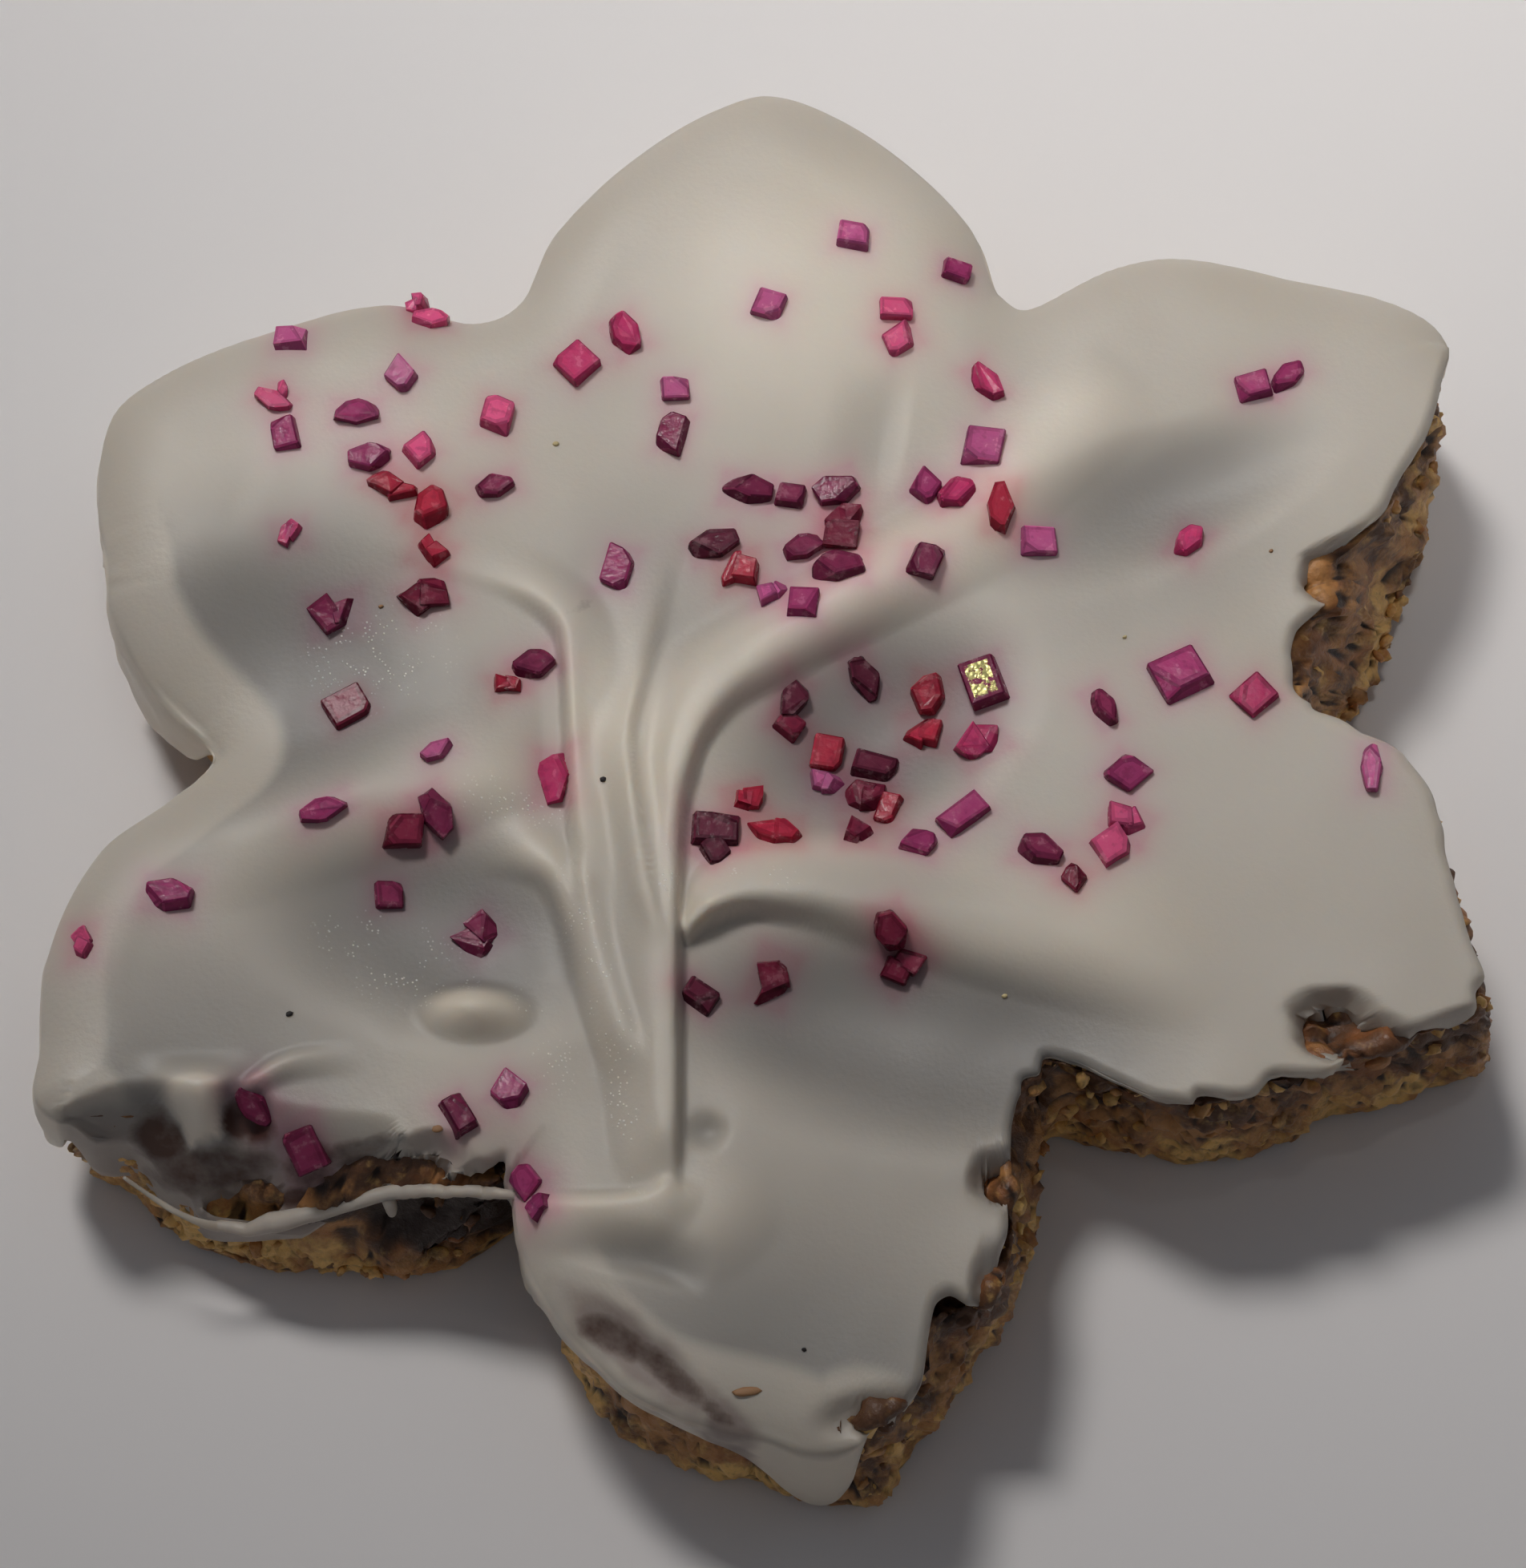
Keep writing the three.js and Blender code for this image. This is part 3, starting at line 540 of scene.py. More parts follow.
# ---------------------------------------------------------------- outlines
def edge_column(column, degrees):
    """One of EDGE's columns in each direction, on a smooth closed curve through its knots."""
    at = EDGE[:, 0]
    value = EDGE[:, column]
    span = (np.roll(at, -1) - at) % 360
    slope = (np.roll(value, -1) - np.roll(value, 1)) / (span + np.roll(span, 1))
    position = (np.asarray(degrees) - at[0]) % 360
    knot = np.searchsorted(at - at[0], position, side="right") - 1
    after = (knot + 1) % len(at)
    u = (position - (at - at[0])[knot]) / span[knot]
    leave, arrive = slope[knot] * span[knot], slope[after] * span[knot]
    return cubic(u, value[knot], value[after], leave, arrive)


SEED_SHIFT = np.array((1, 1.7, 0.6))  # the way noise moves from one seed to the next


def rough(points, pitch, seed):
    """Smooth noise at each (x, y, z) point, between about -1 and 1."""
    shifted = points / pitch + seed * SEED_SHIFT
    return np.array([noise.noise(p) for p in shifted.tolist()])


def waves(points, *layers):
    """Unevenness made of layers of noise, each with its height, pitch and seed."""
    return sum(height * rough(points, pitch, seed) for height, pitch, seed in layers)


def flat(x, y):
    return np.stack([x, y, np.zeros_like(x)], -1)


def every_degree(count):
    return np.arange(count) * 360 / count


def around(radius, degrees):
    angle = np.radians(degrees)
    return np.stack([radius * np.cos(angle), radius * np.sin(angle)], -1)


# The crumb's broken slope runs from a little outside the icing's edge to a rounded corner.
SLOPE_START = 0.3  # how far outside the icing's edge it begins
STEEPNESS, SLOPE_DROP = 1.15, 3.75  # how much it falls over its width, and at most
SHOULDER = 1.6  # how gently it begins
CORNER_WIDTH, CORNER_DROP = 0.43, 0.45
EDGE_INSET = 0.12  # how far the corner lies inside the outermost radius
EDGE_LIFT = 0.8  # how far the crumb rises beside its bare edges


def slope_drop(slope):
    return np.minimum(STEEPNESS * slope, SLOPE_DROP)


def bare_share(degrees):
    """1 where the icing ends on the crumb, 0 where it hangs over the crumb's side."""
    short = 1 - smoothstep(edge_column(REACH, degrees), NO_HEM, FULL_HEM)
    return np.maximum(short, smoothstep(edge_column(HEM, degrees), *BARE_HEM))


def apron_share(degrees):
    """1 where a thin film sags over the broken slope."""
    first, last = APRON[0, 0], APRON[-1, 0]
    return smoothstep(degrees, first, first + 3) * (1 - smoothstep(degrees, last - 3, last))


class EdgeTree:
    """Finds the nearest place on the kept part of a closed line of points."""

    def __init__(self, points, kept):
        self.tree = KDTree(len(points))
        for i in np.flatnonzero(kept).tolist():
            self.tree.insert((*points[i], 0), i)
        self.tree.balance()

    def nearest(self, x, y):
        """Distance to the line, and the nearest place on it, for each point."""
        found = [self.tree.find((px, py, 0)) for px, py in zip(x.tolist(), y.tolist())]
        return np.array([f[2] for f in found]), np.array([f[1] for f in found])


def blurred(values, count):
    """Values round a closed ring, each the mean of so many neighbours."""
    half = count // 2
    wide = np.concatenate([values[-half:], values, values[:half]])
    return np.convolve(wide, np.ones(count) / count, "valid")


def unit(vectors):
    return vectors / np.linalg.norm(vectors, axis=1, keepdims=True)


class Outline:
    """The icing's outer edge from above, and what each direction on it is like."""

    COUNT = 3600

    def __init__(self):
        degrees = every_degree(self.COUNT)
        self.degrees = degrees
        outer, reach = edge_column(OUTER, degrees), edge_column(REACH, degrees)
        self.bare = bare_share(degrees)
        self.apron = apron_share(degrees)
        short = np.minimum(reach, 0) * (1 - self.apron)
        radius = outer + short - np.interp(degrees, *APRON.T) * self.apron
        ring = flat(*around(MEAN_RADIUS, degrees).T)
        bites = BITE * smoothstep(rough(ring, 1.5, 3), 0.05, 0.5)
        ragged = waves(ring, (0.12, 0.8, 5)) - bites - RAGGED_INSET
        soft = waves(ring, (0.12, 3.5, 7)) - SOFT_INSET
        self.radius = radius + self.bare * ragged + (1 - self.bare) * soft
        risen = np.zeros(self.COUNT)
        for at, half, inward, up in NICKS:
            weight = np.maximum(1 - ((degrees - at) / half) ** 2, 0) ** 2
            self.radius -= inward * weight
            risen += up * weight
        self.slope = np.maximum(-reach - SLOPE_START, 0)
        self.broken = EdgeTree(around(outer, degrees), self.slope > 0.02)
        hem = edge_column(HEM, degrees)
        wave = waves(ring, (0.55, 5, 11), (0.25, 1.6, 13))
        wave *= (1 - self.bare) * (1 - 0.6 * smoothstep(hem, *SHORT_HEM))
        self.hem = hem + wave + risen
        self.even = blurred(self.radius, 101)
        points = around(self.radius, degrees)
        ahead = np.roll(points, -4, 0) - np.roll(points, 4, 0)
        out = unit(np.stack([ahead[:, 1], -ahead[:, 0]], -1))
        self.normals = unit(np.stack([blurred(out[:, i], 25) for i in (0, 1)], -1))
        self.bare_edge = EdgeTree(points, self.bare > 0.5)
        self.hung_edge = EdgeTree(points, self.bare <= 0.5)

    def at(self, values, degrees):
        """A value of the outline in any direction."""
        degrees = np.asarray(degrees) % 360
        return np.interp(degrees, np.append(self.degrees, 360), np.append(values, values[0]))

    def crumb_level(self, x, y):
        """Height of the smooth crumb, how far down its broken slope that is, and the apron."""
        far, place = self.broken.nearest(x, y)
        slope = self.slope[place]
        down = np.clip(1 - (far - EDGE_INSET) / (slope + CORNER_WIDTH), 0, 1)
        return CRUMB_TOP - slope_drop(slope) * down**SHOULDER, down, self.apron[place]

    def film_level(self, x, y):
        """The same, but with the crumb falling only where the thin film lies on it."""
        crumb, down, apron = self.crumb_level(x, y)
        return CRUMB_TOP + (crumb - CRUMB_TOP) * apron, down, apron


def bare_gap(x, y, height):
    """How far each point of the icing is from the nearest bare spot, less than 0 inside one."""
    wobble = waves(flat(x, y), (0.32, 1.1, 9), (0.14, 0.6, 10))
    gap = np.full(x.shape, np.inf)
    for at, half, turn, _ in BARE_SPOTS:
        far = np.hypot(*in_oval(x, seen(y, height), at, half, turn))
        gap = np.minimum(gap, (far - 1 + wobble) * min(half))
    return gap


def spot_weight(x, y, at, half, turn, wobble, soft):
    """1 inside an uneven oval and 0 outside it."""
    return 1 - smoothstep(np.hypot(*in_oval(x, y, at, half, turn)) + wobble, 1 - soft, 1 + soft)


def most_of(spots, x, y, wobble, soft):
    """The largest weight of any of the spots, times the spot's own amount if it has one."""
    weights = [math.prod(amount) * spot_weight(x, y, at, half, turn, wobble, soft)
               for at, half, turn, *amount in spots]
    return np.max(weights, 0)


# How far x, y and z go along each axis of the noise that makes the top's soft waves.
WAVE_GRAIN = np.array([(0.8, 0.35, 0.5), (-0.5, 0.7, 0.55), (0, 0, 0)])


def whole_top(x, y, outline):
    """Height of the icing's top, and of the crumb below it, as if no spot were bare."""
    height = icing_relief(x, y)
    height += waves(flat(x, y) @ WAVE_GRAIN, (0.07, 3.6, 1), (0.015, 1.3, 2))
    hung_far, hung_place = outline.hung_edge.nearest(x, y)
    share = ROUNDEST * np.clip(1 - hung_far / RIM_WIDTH, 0, 1)
    short = smoothstep(outline.hem[hung_place], *SHORT_HEM)
    drop = RIM_DROP + (SHORT_DROP - RIM_DROP) * short
    roll = drop * (1 - np.sqrt(1 - share**2)) * (1 - outline.bare[hung_place])
    crumb, down, apron = outline.film_level(x, y)
    sagged = apron * smoothstep(down, -0.05, 0.8)
    full = (ICING_LEVEL - CRUMB_TOP) * (1 - sagged)
    film = FILM * (1 + waves(flat(x, y), (0.8, 1.6, 4))) * sagged
    thickness = full + film + (height - ICING_LEVEL) * (1 - 0.4 * sagged) - roll
    thickness = np.maximum(thickness, THINNEST)
    bare_far, _ = outline.bare_edge.nearest(x, y)
    rise = np.clip(bare_far / BARE_WIDTH, 0, 1)
    thickness *= THIN_SHARE + (1 - THIN_SHARE) * np.sqrt(1 - (1 - rise) ** 2)
    return crumb + thickness, crumb


def icing_top(x, y, outline):
    """Height of the icing's top surface at each plan position, sunk where a spot is bare."""
    height, crumb = whole_top(x, y, outline)
    gap = bare_gap(x, y, height)
    pits = sum(swell_height(pit, x, y) for pit in CRUMB_PITS)
    edge = SPOT_SHARE + (1 - SPOT_SHARE) * smoothstep(gap, -0.05, SPOT_WIDTH)
    inside = smoothstep(-gap, 0, 0.22)
    return crumb + (height - crumb) * edge * (1 - inside) + (pits - SUNK) * inside


SNAP_REACH, SNAP_STEP = 0.11, 0.03  # how far a point may move, and the step that finds where


def snapped(plan, outline):
    """Moves the points beside a bare spot's edge onto it, so that the edge is crisp."""
    x, y = plan.T

    def gap_at(px, py):
        return bare_gap(px, py, whole_top(px, py, outline)[0])

    near = np.abs(gap_at(x, y)) < 0.4
    plan = plan.copy()
    x, y = plan[near].T
    gap = gap_at(x, y)
    slope = np.stack([gap_at(x + SNAP_STEP, y) - gap_at(x - SNAP_STEP, y),
                      gap_at(x, y + SNAP_STEP) - gap_at(x, y - SNAP_STEP)], -1) / (2 * SNAP_STEP)
    steep = np.maximum((slope**2).sum(1), 0.2)
    move = -slope * (gap / steep)[:, None]
    close = np.hypot(*move.T) < SNAP_REACH
    plan[near] += move * close[:, None]
    return plan


def leaned(x, y, top):
    """Moves places that are seen on SEEN_LEVEL to where they lie on the surface."""
    x, y = np.asarray(x, float), np.asarray(y, float)
    level = top(x, y)
    for _ in range(3):
        level = top(x, y + LEAN * (SEEN_LEVEL - level))
    return x, y + LEAN * (SEEN_LEVEL - level)


# ---------------------------------------------------------------- finishing a piece
def place_vertices(bm, points):
    for vertex, point in zip(bm.verts, points.tolist()):
        vertex.co = point


def vertex_array(bm):
    return np.array([vertex.co for vertex in bm.verts])


def extruded(bm, ring):
    """Extrudes a ring of edges once, and gives the new vertices and the new ring."""
    made = bmesh.ops.extrude_edge_only(bm, edges=ring)["geom"]
    new = [v for v in made if isinstance(v, bmesh.types.BMVert)]
    return new, [e for e in made if isinstance(e, bmesh.types.BMEdge) and e.is_boundary]


def add_values(mesh, name, values, domain="POINT"):
    layer = mesh.attributes.new(name, "FLOAT", domain)
    layer.data.foreach_set("value", np.asarray(values, np.float32))


def add_colours(mesh, name, rgb, domain="POINT"):
    layer = mesh.attributes.new(name, "FLOAT_COLOR", domain)
    full = np.column_stack([rgb, np.ones(len(rgb))]).astype(np.float32)
    layer.data.foreach_set("color", full.ravel())


def finish_piece(bm, name, material, replaces=()):
    """Scales a piece to metres, gives it its material, puts it under the root body and hides the
    imported parts that it replaces.
    """
    bmesh.ops.scale(bm, vec=(MM, MM, MM), verts=bm.verts)
    mesh = bpy.data.meshes.new(name)
    bm.to_mesh(mesh)
    bm.free()
    mesh.shade_smooth()
    mesh.materials.append(material)
    piece = bpy.data.objects.new(name, mesh)
    bpy.context.scene.collection.objects.link(piece)
    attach(piece, "root")
    if replaces:
        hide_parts(*replaces)
    return piece


# ---------------------------------------------------------------- shader maths
class Socket:
    """A node's output that can be used in expressions, which add the Math nodes they need."""

    def __init__(self, nodes, output):
        self.nodes = nodes
        self.output = output

    def math(self, operation, *others):
        return self.nodes.add("ShaderNodeMath", {"operation": operation}, [self, *others])

    def __add__(self, other):
        return self.math("ADD", other)

    __radd__ = __add__

    def __mul__(self, other):
        return self.math("MULTIPLY", other)

    __rmul__ = __mul__

    def __sub__(self, other):
        return self.math("SUBTRACT", other)

    def __rsub__(self, other):
        return (self * -1) + other

    def clamped(self):
        node = self.math("ADD", 0)
        node.output.node.use_clamp = True
        return node

    def above(self, low, high):
        """0 below low and 1 above high, eased between."""
        return self.nodes.add(
            "ShaderNodeMapRange",
            {"interpolation_type": "SMOOTHSTEP"},
            {"Value": self, "From Min": low, "From Max": high},
        )


class Nodes:
    """A material's nodes. A setting is given before the sockets, which take values or Sockets."""

    def __init__(self, name):
        self.material = bpy.data.materials.new(name)
        self.material.use_nodes = True
        self.tree = self.material.node_tree
        self.tree.nodes.clear()
        self.place = self.add("ShaderNodeTexCoord", output="Object")

    def add(self, kind, settings=None, inputs=(), output=0):
        node = self.tree.nodes.new(kind)
        for key, value in (settings or {}).items():
            setattr(node, key, value)
        pairs = inputs.items() if isinstance(inputs, dict) else enumerate(inputs)
        for key, value in pairs:
            if value is None:
                continue
            if isinstance(value, Socket):
                self.tree.links.new(value.output, node.inputs[key])
            else:
                node.inputs[key].default_value = value
        return Socket(self, node.outputs[output])

    def attribute(self, name, output="Fac"):
        return self.add("ShaderNodeAttribute", {"attribute_name": name}, output=output)

    def noise(self, pitch, detail=2, roughness=0.5, output="Fac"):
        """Noise whose features are about pitch millimetres apart."""
        return self.add(
            "ShaderNodeTexNoise", None,
            {"Vector": self.place, "Scale": 1 / (pitch * MM), "Detail": detail,
             "Roughness": roughness}, output,
        )

    def grains(self, pitch, feature="F1", output="Distance"):
        return self.add(
            "ShaderNodeTexVoronoi", {"feature": feature},
            {"Vector": self.place, "Scale": 1 / (pitch * MM)}, output,
        )

    def mix(self, factor, first, second, blend="MIX"):
        return self.add(
            "ShaderNodeMix", {"data_type": "RGBA", "blend_type": blend},
            {0: factor, 6: first, 7: second}, 2,
        )

    def bump(self, height, distance, strength=1.0, normal=None):
        return self.add(
            "ShaderNodeBump", None,
            {"Height": height, "Distance": distance * MM, "Strength": strength,
             "Normal": normal}, "Normal",
        )

    def finish(self, inputs):
        """Ends the material in a Principled BSDF with these sockets."""
        shader = self.add("ShaderNodeBsdfPrincipled", None, inputs, "BSDF")
        end = self.tree.nodes.new("ShaderNodeOutputMaterial")
        self.tree.links.new(shader.output, end.inputs["Surface"])
        return self.material


def rgba(rgb, factors=(1, 1, 1)):
    return (*(share * factor for share, factor in zip(rgb, factors)), 1)


def icing_material():
    n = Nodes("yogurt icing")
    look = colours()
    warm = rgba(look.icing, (0.965, 0.955, 0.93))
    cream = n.mix(n.noise(7, 2).above(0.35, 0.65), rgba(look.icing), warm)
    # Painted shade: where the body attribute is low, the cream is mixed towards the shaded icing
    # colour.
    cream = n.mix(n.attribute("body"), rgba(look.icing_shaded), cream)
    thin = n.attribute("thin")
    patchy = (thin * (n.noise(0.9, 3) * 0.9 + 0.55)).clamped()
    base = n.mix(patchy, cream, rgba(look.icing_thin))
    # Crumb showing through the torn icing, with painted shade in the pits.
    showing = (n.attribute("showing") * 2 - n.noise(0.8, 3, 0.6) * 1.3).clamped()
    base = n.mix(showing, base, rgba(look.crumb_moist))
    base = n.mix(1.0, base, n.attribute("bleed", "Color"), "MULTIPLY")
    grain = n.noise(0.16, 2) * 0.7 + n.noise(0.5, 1) * 0.6
    sparkle = n.grains(0.16).above(0.3, 0.1) * n.attribute("glint")
    # Painted glints: the base colour is whitened on the sparkling specks.
    base = n.mix(sparkle * 0.75, base, (1, 0.97, 0.9, 1))
    return n.finish({
        "Base Color": base,
        "Roughness": n.noise(0.7, 1) * 0.12 + 0.42 - sparkle * 0.3,
        "Normal": n.bump(grain + sparkle * 1.6, 0.014, 0.8),
        "Subsurface Weight": 0.35,
        "Subsurface Radius": (1.0, 0.75, 0.5),
        "Subsurface Scale": 0.9 * MM,
    })


def crumb_material():
    n = Nodes("baked crumb")
    look = colours()
    patch = n.noise(1.3, 4, 0.65) + (n.attribute("grain") - 0.5) * 0.22
    body = n.mix(patch.above(0.3, 0.56), rgba(look.crumb_dark), rgba(look.crumb_mid))
    body = n.mix(n.noise(1.9, 3).above(0.48, 0.7) * 0.6, body, rgba(look.crumb_toast))
    ochre = (n.noise(0.9, 4, 0.6) + n.attribute("pale") * 0.34).above(0.56, 0.88)
    body = n.mix(ochre, body, rgba(look.crumb_pale))
    mottled = n.noise(0.3, 3, 0.6)
    body = n.mix(mottled.above(0.54, 0.74) * 0.4, body, rgba(look.crumb_dark))
    # Painted shade: the crumb turns to the crevice colour where the depth attribute is low.
    body = n.mix(n.attribute("depth").above(0.58, 0.2), body, rgba(look.crumb_crevice))
    fine = n.noise(0.2, 3, 0.6) + n.grains(0.35) * -0.4
    return n.finish({
        "Base Color": body,
        "Roughness": mottled * 0.35 + 0.3,
        "Normal": n.bump(fine, 0.07, 0.9),
        "Subsurface Weight": 0.05,
        "Subsurface Radius": (1.0, 0.5, 0.3),
        "Subsurface Scale": 0.4 * MM,
    })


def sugar_material():
    n = Nodes("coloured sugar")
    look = colours()
    tint = n.attribute("sugar_colour", "Color")
    # Painted reflection on the flat top of the glinting crystal, which is also made metallic
    # there.
    gold = n.attribute("gold") * n.noise(0.35, 3, 0.7).above(0.42, 0.52)
    cloudy = n.noise(0.5, 3, 0.6)
    # Painted shade: the lower part of each crystal is darkened.
    low = n.attribute("core").above(0.75, 0.35) * 0.75
    body = n.mix(low, tint, n.mix(0.6, tint, (0.03, 0.003, 0.015, 1)))
    body = n.mix(cloudy.above(0.5, 0.72) * 0.4, body, n.mix(0.3, tint, (1, 0.62, 0.66, 1)))
    body = n.mix(cloudy.above(0.46, 0.32) * 0.45, body, n.mix(0.6, tint, (0.05, 0.005, 0.02, 1)))
    body = n.mix(gold, body, rgba(look.gold))
    return n.finish({
        "Base Color": body,
        "Metallic": gold * 0.8,
        "Roughness": cloudy * 0.25 + 0.12 + gold * 0.15,
        "Normal": n.bump(n.noise(0.25, 2) + n.grains(0.16) * gold * 2, 0.03, 0.7),
        "Transmission Weight": 0.14,
        "IOR": 1.45,
        "Specular IOR Level": 0.1,
        "Subsurface Weight": 0.4,
        "Subsurface Radius": (1.0, 0.35, 0.5),
        "Subsurface Scale": 0.35 * MM,
    })


def fleck_material():
    n = Nodes("flecks")
    return n.finish({"Base Color": n.attribute("fleck_colour", "Color"), "Roughness": 0.6})


def floor_material():
    n = Nodes("pale floor")
    pale = colours().floor
    faint = n.mix(n.noise(30, 2), rgba(pale), rgba(pale, (0.985, 0.985, 0.985)))
    return n.finish({"Base Color": faint, "Roughness": 0.7})


# ---------------------------------------------------------------- the biscuit
RING = 900  # columns round the crumb
CORE = 5  # radius of the flat middle, hidden below the icing
MARGIN, MARGIN_ROWS = 8.5, 24  # the part of the top that may be bare
BRINK = 2  # width of the top beside the broken slope, where it begins to rise
FOOT_ROUND, FOOT_INSET = 0.75, 0.15
UNDER_WIDTH = 3.0
# Rows from each corner of the crumb's profile to the next.
PROFILE_ROWS = (1, MARGIN_ROWS, 6, 5, 5, 10, 9, 6, 7, 1)
# Where the crumb's foot sticks out beyond its top: the direction, half the width in degrees,
# and how far.
FEET = [(264, 20, 0.85), (219, 9, 0.7), (67.8, 4.5, 1.5), (163.7, 4.5, 1.6), (180.8, 5, 1.6)]
FOOT_EASE = 6  # degrees over which a foot swells out
# The crumb's unevenness, as layers of noise: height, pitch and seed.
CRUMB_WAVES = [(0.3, 3.5, 21), (0.34, 1.5, 22), (0.24, 0.7, 23), (0.14, 0.38, 24)]
FINE_LUMP = 0.45  # width of the fine lumps as a share of the coarse ones'
# Shares of the crevice depth between coarse lumps, between fine ones, and in the splits.
COARSE_DEPTH, FINE_DEPTH, SPLIT_DEPTH = 0.55, 0.3, 0.5
LUMP_SINK = 0.2  # how far the crumb's middle level lies below its smooth form
TOP_SWELL = 0.28  # how much higher it stands where it faces up


def crumb_sections(degrees):
    """For every row from the inner top to the under side, its ring of (x, y, z) points."""
    outer, reach = edge_column(OUTER, degrees), edge_column(REACH, degrees)
    radius = outer - np.maximum(reach, 0)
    slope = np.maximum(-reach - SLOPE_START, 0)
    drop = CORNER_DROP + slope_drop(slope)
    flare = np.zeros(len(degrees))
    for at, half, amount in FEET:
        inside = half - np.abs(degrees - at)
        flare = np.maximum(flare, amount * smoothstep(inside, 0, min(half, FOOT_EASE)))
    lift = EDGE_LIFT * bare_share(degrees) * (1 - apron_share(degrees))
    middle = EDGE_INSET + (slope + CORNER_WIDTH) / 2
    corners = [
        (CORE, CRUMB_TOP),
        (radius - slope - MARGIN, CRUMB_TOP),
        (radius - slope - BRINK, CRUMB_TOP),
        (radius - slope - CORNER_WIDTH - EDGE_INSET, CRUMB_TOP + lift),
        (radius - middle, CRUMB_TOP + lift * 0.7 - drop * 0.5**SHOULDER),
        (radius - EDGE_INSET, CRUMB_TOP - drop),
        (radius + flare * 0.4, (CRUMB_TOP - drop) * 0.6),
        (radius - FOOT_INSET + flare, FOOT_ROUND),
        (radius - FOOT_ROUND + flare, 0),
        (radius - FOOT_ROUND - UNDER_WIDTH, 0),
        (CORE, 0),
    ]
    corners = [np.array(np.broadcast_arrays(out, z, radius)[:2]) for out, z in corners]
    rows = []
    for start, end, count in zip(corners, corners[1:], PROFILE_ROWS):
        rows += [start + (end - start) * (k / count) for k in range(count)]
    rows = np.array([*rows, corners[-1]])
    for _ in range(3):
        rows[1:-1] = (rows[:-2] + 2 * rows[1:-1] + rows[2:]) / 4
    return [np.column_stack([around(r, degrees), z]) for r, z in rows]


def star_mesh(sections):
    """A closed skin over the sections, and its points in the order of its vertices."""
    bm = bmesh.new()
    bmesh.ops.create_circle(bm, cap_ends=False, segments=RING, radius=1)
    ring = list(bm.edges)
    bmesh.ops.edgeloop_fill(bm, edges=ring)
    for _ in sections[1:]:
        _, ring = extruded(bm, ring)
    bmesh.ops.edgeloop_fill(bm, edges=ring)
    start = vertex_array(bm)[:RING]
    turn = np.degrees(np.arctan2(start[:, 1], start[:, 0]))
    order = np.round(turn % 360 / 360 * RING).astype(int) % RING
    points = np.concatenate([section[order] for section in sections])
    place_vertices(bm, points)
    bmesh.ops.recalc_face_normals(bm, faces=bm.faces)
    bm.normal_update()
    return bm, points


# What turns the place of a lump's centre into its own random share.
LUMP_HASH, HASH_SPREAD = (12.9898, 78.233, 37.719), 43.7585


def lumps(points, pitch, seed):
    """Height of rounded lumps at each point, 1 on top and 0 between them, and each one's own
    random share."""
    height = np.empty(len(points))
    share = np.empty(len(points))
    for i, point in enumerate((points / pitch + seed).tolist()):
        distances, centres = noise.voronoi(point)
        gap = distances[1] - distances[0]
        height[i] = min(gap / 0.55, 1) ** 0.5 * 0.6 + 0.4 * (1 - min(distances[0], 1) ** 2)
        share[i] = (centres[0].dot(LUMP_HASH) * HASH_SPREAD) % 1
    return height, share


